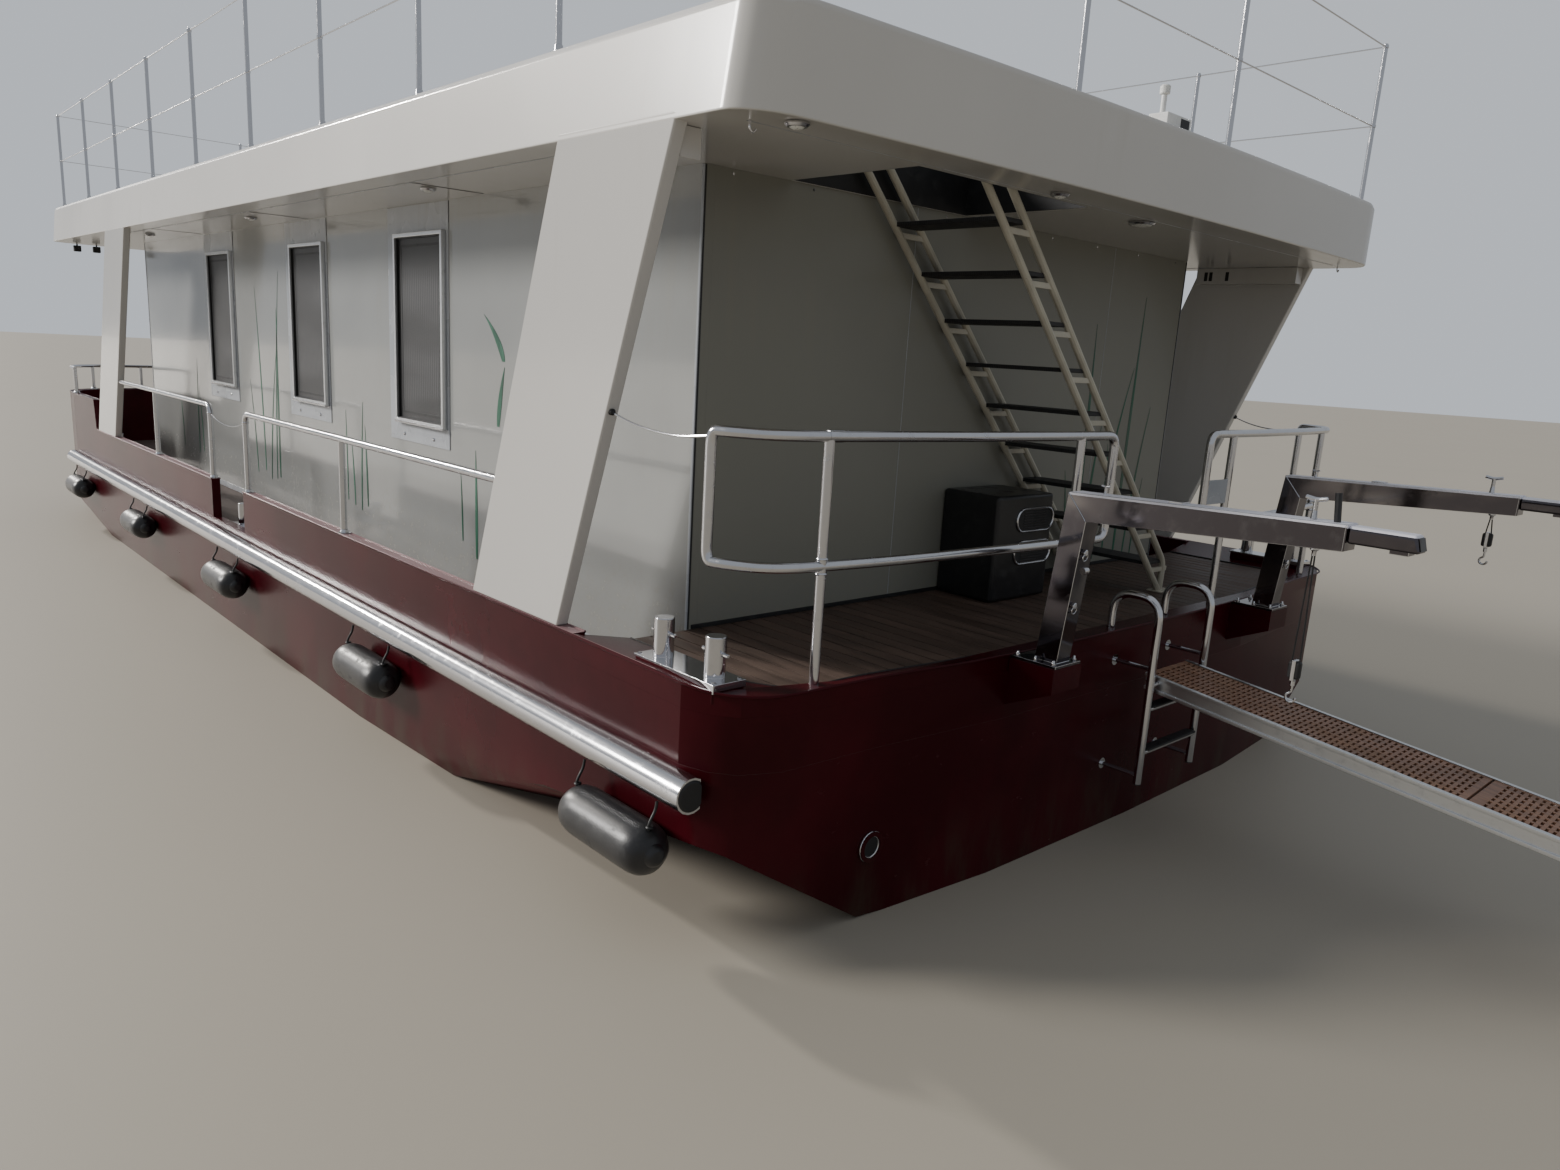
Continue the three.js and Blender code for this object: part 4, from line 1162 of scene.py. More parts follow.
class HOUSEBOAT_OT_reeds(Maker, bpy.types.Operator):
    """Lays the green reed pattern on the cabin's walls."""

    bl_idname = "houseboat.reeds"
    bl_label = "Reeds"

    # Blades: station or place across, foot height, height, lean to the fore or to port, greatest width.
    SIDE = (
        (1900, 1700, 900, 0.05, 26), (2380, 1650, 640, 0.03, 34), (2560, 1700, 300, -0.1, 14),
        (2700, 2720, 250, 0.9, 56), (2760, 2360, 330, -0.22, 44), (3020, 1560, 640, 0.02, 30),
        (3200, 1640, 420, 0.06, 15), (4650, 1640, 560, 0.05, 24), (4760, 1600, 760, -0.07, 20),
        (4880, 1620, 460, 0.1, 18), (5010, 1640, 640, 0.02, 16), (6480, 1620, 1350, -0.03, 34),
        (6560, 1600, 1650, -0.12, 22), (6700, 1580, 1100, -0.22, 20), (6840, 1640, 1500, 0.08, 24),
        (7050, 1600, 780, 0.16, 18), (8700, 1600, 620, 0.12, 20), (8850, 1580, 900, -0.06, 22),
        (9400, 1600, 520, 0.1, 18),
    )
    AFT = (
        (-1080, 1640, 1500, 0.02, 34), (-1150, 1640, 900, -0.1, 26), (-1300, 1640, 1250, -0.2, 22),
        (-1420, 1700, 700, 0.12, 24), (-1560, 1640, 1700, -0.02, 30), (-1680, 1640, 1000, -0.14, 20),
        (-960, 1640, 600, 0.14, 18), (-1780, 1640, 520, -0.1, 16),
    )
    STEPS = 14
    THICK = 0.8

    def make(self, sizes):
        thick = self.THICK
        for side in SIDES:
            wall = (lambda a, z: (a, CABIN_HALF + thick, z)), (0, thick, 0)
            shapes = flipped([self.blade(row, *wall) for row in self.SIDE], side)
            gather(f"reeds_{side}", shapes)
        wall = (lambda a, z: (CABIN_AFT - thick, a, z)), (-thick, 0, 0)
        gather("reeds_aft", [self.blade(row, *wall) for row in self.AFT])

    def blade(self, row, onto, outwards):
        """One long leaf with a slight bend, as a thin raised strip."""
        start, foot, height, lean, width = row
        left, right = [], []
        for step in range(self.STEPS + 1):
            t = step / self.STEPS
            a = start + height * lean * t * (0.4 + 0.6 * t)
            half = width * math.sin(math.pi * (0.12 + 0.87 * t) ** 0.8) / 2 + 0.6
            left.append(onto(a - half, foot + height * t))
            right.append(onto(a + half, foot + height * t))
        return slab(left + right[::-1], outwards, "reed")


# Roof.


class HOUSEBOAT_OT_roof(Maker, bpy.types.Operator):
    """Rounds the roof's edges, and fits its lights, the vented ledges, the soffit's joints and the hatch."""

    bl_idname = "houseboat.roof"
    bl_label = "Roof"

    # Station, distance to port, radius. Those further forward have a twin to starboard.
    DOWNLIGHTS = (
        (62, 2387, 42), (113, 764, 42), (259, -190, 66), (3000, 2340, 42), (6000, 2340, 42), (9000, 2340, 42),
    )
    BOW_LAMPS = ((11980, 2420), (11880, 2250))
    # The hatch's aft, fore, starboard and port edges.
    HATCH = (240, 975, 330, 1560)

    def make(self, sizes):
        gather("roof_shell", [edged(copied("roof", "cream"), 24, 4)], nodes=["roof"])
        lamps = []
        for x, y, radius in self.DOWNLIGHTS:
            for s in (1, -1) if x > 1000 else (1,):
                lamps += self.downlight((x, s * y, SOFFIT - 2), radius)
        gather("soffit_lights", lamps)
        shapes = []
        for x, y in self.BOW_LAMPS:
            for place in (y, -y):
                low, high = (x - 28, place - 36, 3520), (x + 28, place + 36, SOFFIT - 20)
                shapes.append(block(low, high, 8, "seal"))
                shapes.append(turned([(8, 0), (8, 30)], (x, place, SOFFIT - 31), "Z", 12, "seal"))
        gather("bow_lamps", shapes)
        self.ledges()
        self.soffit_trim()
        self.hatch_dark_walls()

    def downlight(self, place, radius):
        rim = [(radius, 0), (radius + 2, -6), (radius - 6, -14), (radius - 14, -15)]
        lens = [(radius - 14, -13), (radius - 20, -18), (radius * 0.3, -22), (4, -23)]
        return [turned(rim, place, "Z", 24, "steel"), turned(lens, place, "Z", 24, "lens")]

    def ledges(self):
        """The strips that close the tops of the side passages, each with its vent slots."""
        shapes = []
        for s in (1, -1):
            low, high = sorted((s * 2498, s * 2588))
            shapes.append(block((433, low, 3500), (1130, high, SOFFIT - 1), 3, "cream"))
            low, high = sorted((s * 2496, s * 2504))
            for x in (907, 1025, 1060):
                shapes.append(block((x - 12, low, 3520), (x + 12, high, 3580), 2, "seal"))
        gather("passage_ledges", shapes)

    def soffit_trim(self):
        """Thin joints between the soffit's panels, and a small hook at the corner."""
        z = SOFFIT - 1.5
        shapes = [block((187, -2440, z - 0.5), (189, 2500, z + 1), 0.4, "surround")]
        for s in (1, -1):
            joint = s * 2480
            shapes.append(block((1000, joint - 2, z - 1), (9600, joint + 2, z + 1), 0.5, "surround"))
            low, high = sorted((s * 2070, joint))
            for x in (2900, 5600, 8300):
                shapes.append(block((x - 2, low, z - 1), (x + 2, high, z + 1), 0.5, "seal"))
            bend = ((0, 0), (0, -22), (-14, -34), (-26, -22))
            hook = [(178, s * 2494 + y, z + drop) for y, drop in bend]
            shapes.append(tube(flowing(hook, 4), 4))
        gather("soffit_joints", shapes)

    def hatch_dark_walls(self):
        """Dark slabs on the four walls of the hatch over the stair."""
        aft, fore, starboard, port = self.HATCH
        low, high, thick = SOFFIT + 2, ROOF_TOP + 13, 5
        shapes = [
            block((aft, starboard, low), (aft + thick, port, high), 1, "seal"),
            block((fore - thick, starboard, low), (fore, port, high), 1, "seal"),
            block((aft, starboard, low), (fore, starboard + thick, high), 1, "seal"),
            block((aft, port - thick, low), (fore, port, high), 1, "seal"),
        ]
        gather("hatch_dark_walls", shapes)


class HOUSEBOAT_OT_fins(Maker, bpy.types.Operator):
    """Rounds the edges of the slanted fins that carry the roof."""

    bl_idname = "houseboat.fins"
    bl_label = "Fins"

    # Stations of the aft edge's foot and head.
    SLANTS = {"fin_aft": (1115, 390), "fin_fore": (9510, 8540)}
    EXTRA = 30

    def make(self, sizes):
        for stem, slant in self.SLANTS.items():
            for side in SIDES:
                node = f"{stem}_{side}"
                shape = edged(self.lengthened(copied(node, "cream"), *slant), sizes.edge * 1000, 3)
                gather(f"{node}_panel", [shape], nodes=[node])

    def lengthened(self, shape, foot, head):
        """Draws the head up along the slant, to meet the roof inside its rounded edge."""
        run = (head - foot) / (SOFFIT - CAP) * self.EXTRA
        with editing(shape, lambda face: face.normal.z > 0.9):
            bpy.ops.transform.translate(value=(run / 1000, 0, self.EXTRA / 1000))
        return shape


class HOUSEBOAT_OT_roof_rails(Maker, bpy.types.Operator):
    """Stands the roof rail's posts and stretches its wires."""

    bl_idname = "houseboat.roof_rails"
    bl_label = "Roof rails"

    # The rows' distance to port, and that of the posts across the ends.
    Y, ACROSS = 2540, 700
    FIRST, SECOND, PITCH, COUNT = 120, 1336, 1306, 10
    HEIGHT, MIDDLE, UPPER = 960, 480, 940

    def make(self, sizes):
        stations = [self.FIRST, *(self.SECOND + i * self.PITCH for i in range(self.COUNT - 1))]
        for side, s in SIDES.items():
            feet = [(x, s * self.Y) for x in stations]
            self.rail(f"roof_rail_{side}", feet, [feet[0], feet[-1]], sizes)
        for name, x in (("roof_rail_aft", stations[0]), ("roof_rail_bow", stations[-1])):
            feet = [(x, self.ACROSS), (x, -self.ACROSS)]
            self.rail(name, feet, [(x, self.Y - 15), (x, 15 - self.Y)], sizes)

    def rail(self, node, feet, ends, sizes):
        radius = sizes.stanchion * 1000
        wires = ROOF_TOP + self.MIDDLE, ROOF_TOP + self.UPPER
        post = [(radius, 0), (radius, self.HEIGHT - 10), (radius - 3, self.HEIGHT - 3), (3, self.HEIGHT - 1)]
        foot = [(34, 0), (34, 5), (20, 8), (17, 34), (15, 36)]
        collar = [(radius + 1, -9), (radius + 3, -6), (radius + 3, 6), (radius + 1, 9)]
        shapes = []
        for x, y in feet:
            shapes.append(turned(post, (x, y, ROOF_TOP + 1), "Z", 16, "steel"))
            shapes.append(turned(foot, (x, y, ROOF_TOP + 0.5), "Z", 20, "steel"))
            shapes += [turned(collar, (x, y, z), "Z", 16, "steel") for z in wires]
        for z in wires:
            shapes.append(tube([(x, y, z) for x, y in ends], sizes.wire * 1000, resolution=1))
        gather(f"{node}_posts", shapes, nodes=[node])


# Deck rails.

RAIL_TOP = 2220
STERN_TOP, STERN_LOW = 2571, 2093
STERN_RAIL_CURVE = (
    (266, 2530), (180, 2500), (77, 2431), (20, 2330), (-5, 2201),
    (-54, 1819), (-98, 1232), (-120, 740), (-126, 470),
)


def flange(x, y, z):
    return turned([(40, 0), (40, 4), (30, 7), (24, 22), (21, 24)], (x, y, z), "Z", 20, "steel")


class HOUSEBOAT_OT_stern_rails(Maker, bpy.types.Operator):
    """Bends the stern rails round the corners of the aft deck, with a slack wire to each fin."""

    bl_idname = "houseboat.stern_rails"
    bl_label = "Stern rails"

    # Where the slack wire meets the fin, how far it sags, and where the sag is taken.
    FIN = (768, 2625, 2595)
    DROP, PARTS = 34, (0.2, 0.4, 0.6, 0.8)

    def make(self, sizes):
        for side in SIDES:
            shapes = flipped(self.rail(sizes) + self.slack_wire(sizes), side)
            if side == "starboard":
                shapes.append(block((-132, -719, 2200), (-126, -491, 2330), 2, "surround"))
            gather(f"stern_rail_{side}_tubes", shapes, nodes=[f"stern_rail_{side}"])

    def rail(self, sizes):
        radius = sizes.rail * 1000
        curve = flowing_flat(STERN_RAIL_CURVE, 3)
        high = [(x, y, STERN_TOP) for x, y in curve]
        low = [(x, y, STERN_LOW) for x, y in curve[::-1]]
        shapes = [tube(self.rounded_loop(high, low, 55), radius, closed=True, resolution=4)]
        collar = [(radius + 1, -5), (radius + 3, 0), (radius + 1, 5)]
        for x, y in (STERN_RAIL_CURVE[4], STERN_RAIL_CURVE[7]):
            foot = cap_at(x + radius) - 30
            shapes.append(tube([(x, y, foot), (x, y, STERN_TOP)], radius - 1, resolution=4))
            for z in (STERN_LOW - 28, STERN_LOW + 28):
                shapes.append(turned(collar, (x, y, z), "Z", 20, "steel"))
        x, y = STERN_RAIL_CURVE[4]
        sleeve = [(x - 4, y - 60, STERN_TOP), (x + 2, y + 10, STERN_TOP)]
        return [*shapes, tube(sleeve, radius + 2.5, resolution=4)]

    def slack_wire(self, sizes):
        x, y = STERN_RAIL_CURVE[0]
        start, knob = Vector(self.FIN), Vector((x, y, STERN_TOP - 20))
        sag = [start.lerp(knob, t) - Vector((0, 0, self.DROP * 4 * t * (1 - t))) for t in self.PARTS]
        wire = flowing([start, *sag, knob], 4)
        return [
            tube(wire, sizes.gate_wire * 1000 + 1, resolution=2, name="bright"),
            tube([sag[3], sag[3].lerp(knob, 0.9)], 6, resolution=2),
            turned([(9, -16), (13, -12), (13, 4), (9, 8)], self.FIN, "X", 12, "seal"),
            turned([(7, -4), (9, -1), (7, 3)], (x - 12, y - 3, STERN_TOP - 20), "X", 12, "seal"),
        ]

    def rounded_loop(self, high, low, reach):
        """The closed line through the high and low tubes, with its four corners rounded."""
        route = [Vector(place) for place in high + low]
        count = len(high)
        points = []
        for i, corner in enumerate(route):
            if i not in (0, count - 1, count, len(route) - 1):
                points.append(corner)
                continue
            ends = [near - corner for near in (route[i - 1], route[(i + 1) % len(route)])]
            start, end = (corner + way.normalized() * min(reach, way.length * 0.8) for way in ends)
            for part in (step / 5 for step in range(6)):
                points.append(start.lerp(corner, part).lerp(corner.lerp(end, part), part))
        return points


class HOUSEBOAT_OT_side_rails(Maker, bpy.types.Operator):
    """Fits the side rails on the bulwarks, with a slack wire across each gate."""

    bl_idname = "houseboat.side_rails"
    bl_label = "Side rails"

    # Stem, post at the gate, end at the fin, post between.
    RAILS = (("side_rail_aft", 5390, 1667, 3580), ("side_rail_fore", 6250, 9218, 7930))
    # How far the wire is below the rail, how far it sags, and where the sag is taken.
    BELOW, SAG, PARTS = 60, 60, (0, 0.15, 0.3, 0.5, 0.7, 0.85, 1)

    def make(self, sizes):
        radius = sizes.rail * 1000
        for stem, post, fin, between in self.RAILS:
            for side in SIDES:
                route = [(post, RAIL_Y, CAP + 1), (post, RAIL_Y, RAIL_TOP), (fin, RAIL_Y, RAIL_TOP)]
                shapes = [tube(soften(route, 70), radius, resolution=4)]
                shapes.append(tube([(between, RAIL_Y, CAP + 1), (between, RAIL_Y, RAIL_TOP)], radius - 2))
                shapes += [flange(x, RAIL_Y - 4, CAP + 0.5) for x in (post, between)]
                node = f"{stem}_{side}"
                gather(f"{node}_tubes", flipped(shapes, side), nodes=[node])
        (_, aft, *_), (_, fore, *_) = self.RAILS
        for side, s in SIDES.items():
            y, z = s * RAIL_Y, RAIL_TOP - self.BELOW
            route = [(aft + (fore - aft) * t, y, z - self.SAG * 4 * t * (1 - t)) for t in self.PARTS]
            wire = tube(flowing(route, 4), sizes.gate_wire * 1000, resolution=1)
            rings = [turned([(22, -6), (24, 0), (22, 6)], (x, y, z), "Z", 16, "steel") for x in (aft, fore)]
            gather(f"gate_wire_{side}", [wire, *rings])


class HOUSEBOAT_OT_bow_rail(Maker, bpy.types.Operator):
    """Bends the bow rail over the raised bulwark."""

    bl_idname = "houseboat.bow_rail"
    bl_label = "Bow rail"

    # Places on the bow's outline that have a post, counted from its aft end.
    POSTS = (0, 3, 5, 7)

    def make(self, sizes):
        radius = sizes.rail * 1000 - 2
        top, inset = 2240, 30
        port = [(x - inset, y - inset, top) for x, y in bow_curve()[:-1]]
        ring = port + [(x, -y, z) for x, y, z in port[::-1]]
        shapes = [tube(flowing(ring, 4), radius)]
        for place in self.POSTS:
            for x, y, _ in (ring[place], ring[-1 - place]):
                shapes.append(tube([(x, y, BOW_CAP + 1), (x, y, top)], radius - 1))
                shapes.append(flange(x, y, BOW_CAP + 0.5))
        gather("bow_rail_tubes", shapes, nodes=["bow_rail"])


# Gear on the aft deck.


class HOUSEBOAT_OT_stair(Maker, bpy.types.Operator):
    """Builds the stair to the roof: paired tubes, ties and black treads."""

    bl_idname = "houseboat.stair"
    bl_label = "Stair"

    STATIONS = (300, 935)
    # The distance to port is START plus SLOPE times the height over the deck. SPREAD parts the paired tubes.
    SLOPE, START, SPREAD = 0.985, -1130, 185
    FIRST, PITCH, TREADS, TOP, RADIUS = 180, 214, 9, 2330, 19

    def front(self, z):
        return self.START + self.SLOPE * z

    def make(self, sizes):
        base, spread = DECK + 1, self.SPREAD
        heights = [self.FIRST + i * self.PITCH for i in range(self.TREADS)]
        head, foot = self.front(self.TOP), self.front(0)
        shapes = []
        for x in self.STATIONS:
            bend = self.front(170)
            lower = [(x, bend + 10, base), (x, bend, base + 170), (x, head, base + self.TOP)]
            upper = [(x, foot + spread, base), (x, head + spread, base + self.TOP)]
            shapes += [tube(route, self.RADIUS, name="stair") for route in (soften(lower, 60), upper)]
            shapes.append(block((x - 45, foot + 95, base), (x + 45, foot + 235, base + 8), 2, "stair"))
            for z in (height - 45 for height in heights):
                y, tie = self.front(z), base + z
                shapes.append(block((x - 9, y, tie - 14), (x + 9, y + spread, tie + 14), 3, "stair"))
        starboard, port = self.STATIONS
        for z in heights:
            y = self.front(z)
            low, high = (starboard, y, base + z - 10), (port, y + spread, base + z + 11)
            shapes.append(block(low, high, 4, "tread"))
        gather("roof_stair_frame", shapes, nodes=["roof_stair"])


class HOUSEBOAT_OT_davits(Maker, bpy.types.Operator):
    """Finishes the davits' arms, with painted highlights of bright steel on their rounded edges and mitres,
    and fits their bolts, lugs, cleats, end sleeves and tackles.
    """

    bl_idname = "houseboat.davits"
    bl_label = "Davits"

    Y, BASE = 1050, 1633
    # Top of the sheave block on each side.
    BLOCKS = {"port": 1880, "starboard": 2200}

    def make(self, sizes):
        for side, s in SIDES.items():
            node = f"davit_{side}"
            y, base = s * self.Y, self.BASE
            # The arm takes painted reflections; its rounded edges take bright steel as painted highlights.
            arm = copied(node, "reflection_painted_steel")
            arm.data.materials.append(finish("bright"))
            shapes = [edged(arm, 4, 2, material=1)]
            bolt = [(11, 0), (11, 7), (6, 8), (6, 18), (4, 20)]
            for x in (-352, -262, -172):
                shapes += [turned(bolt, (x, y + across, base), "Z", 12, "steel") for across in (-78, 78)]
            shapes.append(block((-372, y - 12, 2025), (-352, y + 12, 2052), 4, "steel"))
            lug = [(14, -16), (16, -10), (16, 10), (14, 16)]
            shapes.append(turned(lug, (-388, y - 20, 2038), "Y", 12, "steel"))
            shapes.append(block((-1402, y - 49, 2303), (-1396, y + 49, 2394), 2, "reflection_painted_steel"))
            shapes += self.cleat(-1270, y, 2394) + self.cleat(-450, y, 2367, 0.5)
            sleeve = ((-1399, 2330), (-1399, 2392), (-1614, 2391), (-1630, 2330))
            shapes.append(slab([(x, y - 38, z) for x, z in sleeve], (0, 76, 0), "reflection_painted_steel", 11))
            mouth = ((-1617, -28, 2382), (-1617, 28, 2382), (-1628.5, 28, 2339), (-1628.5, -28, 2339))
            shapes.append(slab([(x, y + across, z) for x, across, z in mouth], (-2, 0, 0), "rubber"))
            # Thin bright lines along the mitres are painted highlights.
            for face in (y - 50.5, y + 50.5):
                mitre = [(-406, face, 2254), (-314, face, 2362)]
                shapes.append(tube(mitre, 2.4, resolution=1, name="bright"))
            shapes.append(block((-800, y - 30, 2374), (-740, y + 30, 2386), 2, "steel"))
            shapes += self.tackle(-1290, y, 2296, self.BLOCKS[side])
            for z in (2120, 1890):
                shapes += self.pin(-404 + (2252 - z) * 0.0995, y + 18, z)
            if side == "port":
                shapes.append(tube([(-1352, y + 6, 2392), (-1340, y + 2, 2494)], 12, name="rubber"))
            gather(f"{node}_arm", shapes, nodes=[node])

    def tackle(self, x, y, top, block_top):
        """An eye under the arm, the taut falls, a sheave block and its hook."""
        low = block_top - 66
        shapes = [turned([(16, 0), (16, -8), (8, -14), (8, -30)], (x, y, top), "Z", 12, "steel")]
        for dx in (-14, 14):
            fall = [(x + dx * 0.3, y, top - 26), (x + dx, y, block_top - 20)]
            shapes.append(tube(fall, 3, resolution=1, name="seal"))
        turns = [math.radians(a) for a in range(70, -181, -25)]
        hook = [(x, y, low - 24), (x, y, low - 46)]
        hook += [(x + 17 * math.cos(a), y, low - 70 + 17 * math.sin(a)) for a in turns]
        return shapes + [
            block((x - 22, y - 15, low), (x + 22, y + 15, block_top), 9, "seal"),
            block((x - 7, y - 18, low - 6), (x + 7, y + 18, block_top + 4), 2, "steel"),
            turned([(9, 0), (9, 18), (5, 22)], (x, y, low - 26), "Z", 12, "steel"),
            tube(flowing(hook, 2), 5),
        ]

    def pin(self, x, y, z):
        """A small pin with a ring, on the leg's aft face."""
        bolt = turned([(9, 4), (9, -10), (14, -12), (14, -18), (10, -20)], (x, y, z), "X", 12, "bright")
        turns = [math.radians(a) for a in range(0, 360, 30)]
        ring = [(x - 15 - 3 * math.sin(a), y + 17 * math.cos(a), z - 18 + 17 * math.sin(a)) for a in turns]
        return [bolt, tube(ring, 3, closed=True, resolution=2)]

    def cleat(self, x, y, z, scale=1.0):
        outline = [(12 * scale, 0), (9 * scale, 30 * scale), (9 * scale, 69 * scale)]
        bar = [(x + along * scale, y, z + up * scale) for along, up in ((-36, 74), (0, 68), (36, 74))]
        return [turned(outline, (x, y, z), "Z", 12, "steel"), tube(flowing(bar, 4), 8 * scale)]


class HOUSEBOAT_OT_ladder(Maker, bpy.types.Operator):
    """Bends the boarding ladder's hoops over the transom."""

    bl_idname = "houseboat.ladder"
    bl_label = "Boarding ladder"

    def make(self, sizes):
        aft, inboard, top, foot, transom = -360, -115, 1820, 900, -162
        starboard, port = -240, 280
        shapes = []
        for y in (port, starboard):
            base = cap_at(inboard + 19) - 25
            route = [(inboard, y, base), (inboard, y, top), (aft, y, top), (aft, y, foot)]
            shapes.append(tube(soften(route, 110, 8), 19, resolution=4, name="bright"))
            shapes.append(turned([(19, 0), (19, -4), (12, -8)], (aft, y, foot), "Z", 20, "seal"))
            for z in (1480, 940):
                shapes.append(tube([(aft, y, z), (transom, y, z)], 11, name="bright"))
                shapes.append(turned([(28, 0), (28, 5), (16, 8)], (transom, y, z), "X", 16, "bright"))
        for z in (1280, 1060):
            shapes.append(tube([(aft, starboard, z), (aft, port, z)], 16, resolution=4, name="bright"))
            low, high = (aft - 26, starboard + 25, z + 8), (aft + 26, port - 25, z + 20)
            shapes.append(block(low, high, 3, "tread"))
        shapes.append(tube([(aft, starboard, 1400), (aft, port, 1400)], 12))
        gather("boarding_ladder_tubes", shapes, nodes=["boarding_ladder"])


class HOUSEBOAT_OT_gangway(Maker, bpy.types.Operator):
    """Builds the gangway: metal channels and two slotted boards."""

    bl_idname = "houseboat.gangway"
    bl_label = "Gangway"

    # Stations of its ends and of the joint between the boards; the slope, and the height at the root.
    ROOT, JOINT, TIP, DROP, Z = -300, -1700, -3560, 0.115, 1420
    PORT, STARBOARD, CHANNEL = 230, -190, 24
    SLOT_LENGTH, SLOT_WIDTH, PITCH_X, PITCH_Y, ROWS = 34, 11, 26, 52, 7
    THICK, MARGIN = 20, 4

    def make(self, sizes):
        starboard, port = self.STARBOARD, self.PORT
        channels = (port - self.CHANNEL, (0, -1, 0)), (starboard + self.CHANNEL, (0, 1, 0))
        shapes = [edged(cut(copied("gangway", "aluminium"), (0, y, 0), way), 2) for y, way in channels]
        for x in (-900, self.JOINT, -2640, -3510):
            low = self.datum(x) - 45
            shapes.append(
                block((x - 28, starboard + 22, low), (x + 28, port - 22, low + 40), 3, "aluminium")
            )
        for x in (self.ROOT - 14, self.TIP + 14):
            for y in (starboard, port):
                shapes.append(turned([(6, -2), (6, 2)], (x, y, self.datum(x) - 15), "Y", 10, "steel"))
        shapes += self.board(self.ROOT - 2, self.JOINT + 5)
        shapes += self.board(self.JOINT - 5, self.TIP + 2)
        gather("gangway_deck", shapes, body="gangway", nodes=["gangway"])

    def datum(self, x):
        return self.Z + (x - self.ROOT) * self.DROP

    def board(self, start, end):
        """A board with rows of slots across it: one slotted tile, repeated, then tilted onto the slope."""
        tile_x, tile_y, rows, margin = self.PITCH_X, self.PITCH_Y, self.ROWS, self.MARGIN
        columns = int((start - end - 40) / (2 * tile_x)) * 2
        calm()
        bpy.ops.mesh.primitive_grid_add(x_subdivisions=1, y_subdivisions=1, size=1)
        tile = bpy.context.object
        tile.scale = (tile_x / 1000, tile_y / 1000, 1)
        with editing(freeze(tile)):
            bpy.ops.mesh.inset(thickness=margin / 1000)
            slot = self.SLOT_WIDTH / (tile_x - 2 * margin), self.SLOT_LENGTH / (tile_y - 2 * margin), 1
            bpy.ops.transform.resize(value=slot, center_override=(0, 0, 0))
            bpy.ops.mesh.bevel(offset=margin / 1000, segments=2, affect="VERTICES")
            bpy.ops.mesh.delete(type="FACE")
        for count, way in ((rows, (0, tile_y / 1000, 0)), (columns, (-tile_x / 1000, 0, 0))):
            modify(
                tile, "ARRAY", count=count, use_relative_offset=False, use_constant_offset=True,
                constant_offset_displace=way, use_merge_vertices=True, merge_threshold=0.0005,
            )
        modify(tile, "SOLIDIFY", thickness=self.THICK / 1000, offset=-1)
        middle = (self.PORT + self.STARBOARD) / 2
        first = start - (start - end - columns * tile_x) / 2 - tile_x / 2
        tile.scale.x = math.hypot(1, self.DROP)
        tile.rotation_euler.y = -math.atan(self.DROP)
        tile.location = at(first, middle - (rows - 1) / 2 * tile_y, self.datum(first) + self.THICK)
        shapes = [coat(freeze(tile), "board")]
        half = rows * tile_y / 2
        low, high = self.STARBOARD + self.CHANNEL, self.PORT - self.CHANNEL
        for y0, y1 in ((low, middle - half), (middle + half, high)):
            if y1 - y0 > 3:
                shapes.append(self.strip(start, end, y0, y1))
        for x0, x1 in ((start, first + tile_x / 2), (first - (columns - 0.5) * tile_x, end)):
            if x0 - x1 > 2:
                shapes.append(self.strip(x0, x1, middle - half, middle + half))
        return shapes

    def strip(self, start, end, y0, y1):
        corners = ((start, 0), (end, 0), (end, self.THICK), (start, self.THICK))
        outline = [(x, y0, self.datum(x) + up) for x, up in corners]
        return slab(outline, (0, y1 - y0, 0), "board", 0.5)


class HOUSEBOAT_OT_bollards(Maker, bpy.types.Operator):
    """Polishes the bollards and rounds their edges."""

    bl_idname = "houseboat.bollards"
    bl_label = "Bollards"

    # Stem, station, distance to port and the height of the plate.
    PLACES = (("aft", 340, 2535, CAP), ("mid", 5790, 2500, WALKWAY), ("bow", 11800, 2200, WALKWAY))

    def make(self, sizes):
        for stem, x, y, z in self.PLACES:
            for side, s in SIDES.items():
                node = f"bollard_{stem}_{side}"
                shapes = [edged(copied(node, "bright"), 2.5, 2, 50)]
                if stem == "aft":
                    low, high = sorted((s * (y - 75), s * (y + 75)))
                    shapes.append(block((x - 240, low, DECK + 2), (x + 240, high, z + 1), 2, "hull"))
                for dx, dy in ((-232, -60), (-232, 60), (232, -60), (232, 60)):
                    place = (x + dx, s * y + dy, z + 10)
                    shapes.append(turned([(9, 0), (9, 3), (4, 6)], place, "Z", 10, "steel"))
                gather(f"{node}_posts", shapes, nodes=[node])


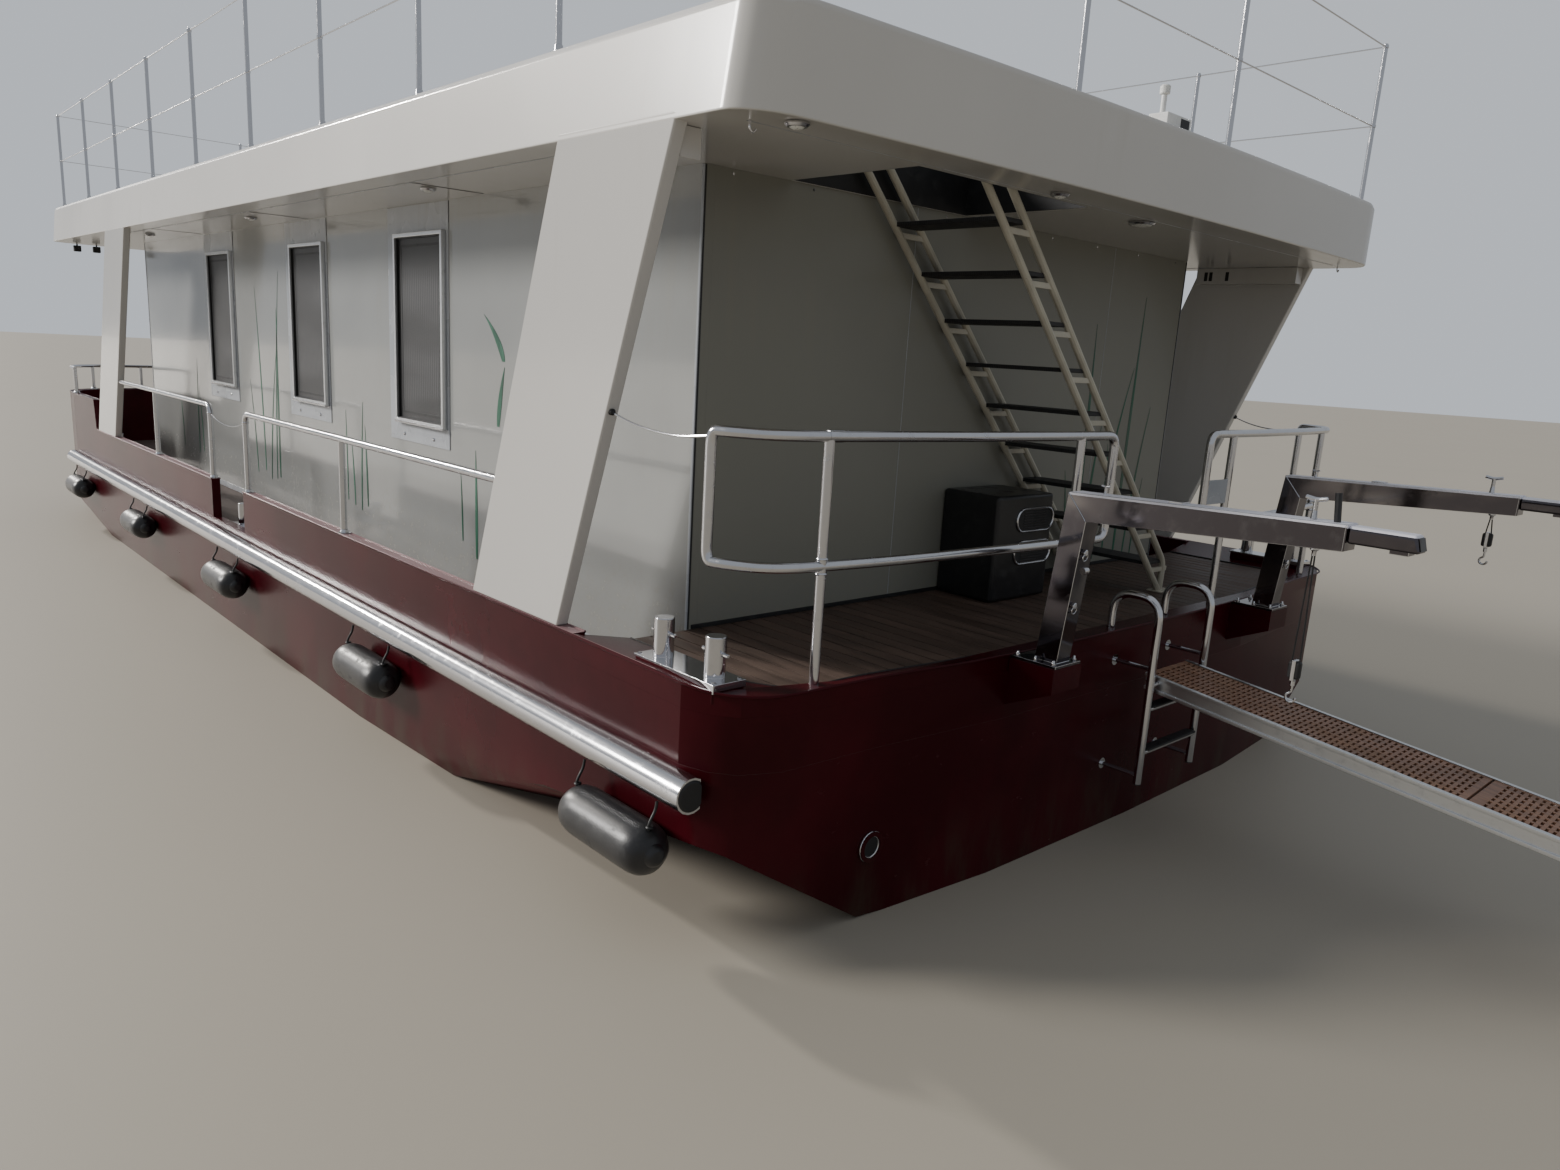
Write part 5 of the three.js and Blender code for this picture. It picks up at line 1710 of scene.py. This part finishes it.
class HOUSEBOAT_OT_locker(Maker, bpy.types.Operator):
    """Builds the black locker with its two ringed doors."""

    bl_idname = "houseboat.locker"
    bl_label = "Locker"

    def make(self, sizes):
        shapes = [edged(copied("deck_box", "locker"), 22, 4), *self.door(2040), *self.door(1860)]
        shapes.append(block((603, -207, 2120), (975, 297, 2124), 1, "seal"))
        gather("locker", shapes, nodes=["deck_box"])

    def door(self, z):
        """A round-ended recess cover with a metal ring and a few louvres."""
        middle, half, rise = -40, 105, 62
        ring = []
        for angle in (i / 32 * 2 * math.pi for i in range(32)):
            end = half if math.cos(angle) >= 0 else -half
            ring.append((597, middle + end + rise * math.cos(angle), z + rise * math.sin(angle)))
        cover = slab([(x + 1, y, height) for x, y, height in ring], (4, 0, 0), "seal")
        louvres = [
            block((595, middle - half, height - 2), (600, middle + half, height + 2), 1, "locker")
            for height in range(z - 42, z + 43, 14)
        ]
        return [tube(ring, 7, closed=True), cover, *louvres]


class HOUSEBOAT_OT_lamp(Maker, bpy.types.Operator):
    """Builds the white stern lamp on the roof's edge."""

    bl_idname = "houseboat.lamp"
    bl_label = "Stern lamp"

    def make(self, sizes):
        shapes = [edged(copied("stern_lamp", "white"), 6, 3)]
        shapes.append(turned([(22, 0), (24, 4), (24, 34), (18, 40)], (60, 90, 4130), "Z", 20, "lens"))
        shapes.append(block((-2, -60, 3990), (2, 20, 4030), 1.5, "seal"))
        gather("stern_lamp_body", shapes, nodes=["stern_lamp"])


# Front and running gear.


class HOUSEBOAT_OT_front(Maker, bpy.types.Operator):
    """Glazes the front wall and builds the sliding door."""

    bl_idname = "houseboat.front"
    bl_label = "Front"

    def make(self, sizes):
        x, leaf = CABIN_FORE, CABIN_FORE + 6
        shapes = []
        for y in (-1400, 1400):
            frame = (x - 20, y - 345, 2301), (x + 4, y + 345, 3419)
            shapes.append(framed(*frame, 40, 0, 2, "aluminium"))
            shapes.append(block((x - 34, y - 325, 2320), (x - 28, y + 325, 3400), 1, "glass"))
        shapes.append(framed((x - 62, -418, 1402), (x + 4, 418, 3348), 22, 0, 2, "aluminium"))
        gather("front_windows", shapes)
        shapes = [edged(copied("front_door", "aluminium"), 3)]
        shapes.append(block((leaf + 14, -372, 1498), (leaf + 20, 372, 3292), 1, "glass"))
        handle = [(leaf + out, 400, z) for out, z in ((41, 2280), (70, 2280), (70, 2480), (41, 2480))]
        shapes.append(tube(soften(handle, 16), 8))
        gather("front_door_leaf", shapes, body="front_door", nodes=["front_door"])


class HOUSEBOAT_OT_running_gear(Maker, bpy.types.Operator):
    """Finishes the propeller, the rudder and the engine."""

    bl_idname = "houseboat.running_gear"
    bl_label = "Running gear"

    def make(self, sizes):
        wear("propeller", "bronze")
        wear("rudder", "bottom")
        wear("engine_block", "engine")


OPERATORS = (
    HOUSEBOAT_OT_camera,
    HOUSEBOAT_OT_stage,
    HOUSEBOAT_OT_hull,
    HOUSEBOAT_OT_rub_rails,
    HOUSEBOAT_OT_fenders,
    HOUSEBOAT_OT_planks,
    HOUSEBOAT_OT_walls,
    HOUSEBOAT_OT_windows,
    HOUSEBOAT_OT_reeds,
    HOUSEBOAT_OT_roof,
    HOUSEBOAT_OT_fins,
    HOUSEBOAT_OT_roof_rails,
    HOUSEBOAT_OT_stern_rails,
    HOUSEBOAT_OT_side_rails,
    HOUSEBOAT_OT_bow_rail,
    HOUSEBOAT_OT_stair,
    HOUSEBOAT_OT_davits,
    HOUSEBOAT_OT_ladder,
    HOUSEBOAT_OT_gangway,
    HOUSEBOAT_OT_bollards,
    HOUSEBOAT_OT_locker,
    HOUSEBOAT_OT_lamp,
    HOUSEBOAT_OT_front,
    HOUSEBOAT_OT_running_gear,
)


class HOUSEBOAT_PT_panel(bpy.types.Panel):
    """Lists the pieces, and the sizes and colours that they use."""

    bl_label = "Houseboat"
    bl_space_type = "VIEW_3D"
    bl_region_type = "UI"
    bl_category = "Houseboat"

    def draw(self, context):
        layout = self.layout
        for settings in (context.scene.houseboat_colours, context.scene.houseboat_sizes):
            for name in settings.__annotations__:
                layout.prop(settings, name)
        for operator in OPERATORS:
            layout.operator(operator.bl_idname)


CLASSES = (HouseboatColours, HouseboatSizes, *OPERATORS, HOUSEBOAT_PT_panel)


def register():
    for cls in CLASSES:
        bpy.utils.register_class(cls)
    bpy.types.Scene.houseboat_colours = bpy.props.PointerProperty(type=HouseboatColours)
    bpy.types.Scene.houseboat_sizes = bpy.props.PointerProperty(type=HouseboatSizes)


def unregister():
    del bpy.types.Scene.houseboat_sizes
    del bpy.types.Scene.houseboat_colours
    for cls in reversed(CLASSES):
        bpy.utils.unregister_class(cls)


def main():
    register()
    for operator in OPERATORS:
        group, name = operator.bl_idname.split(".")
        getattr(getattr(bpy.ops, group), name)()


if __name__ == "__main__":
    main()
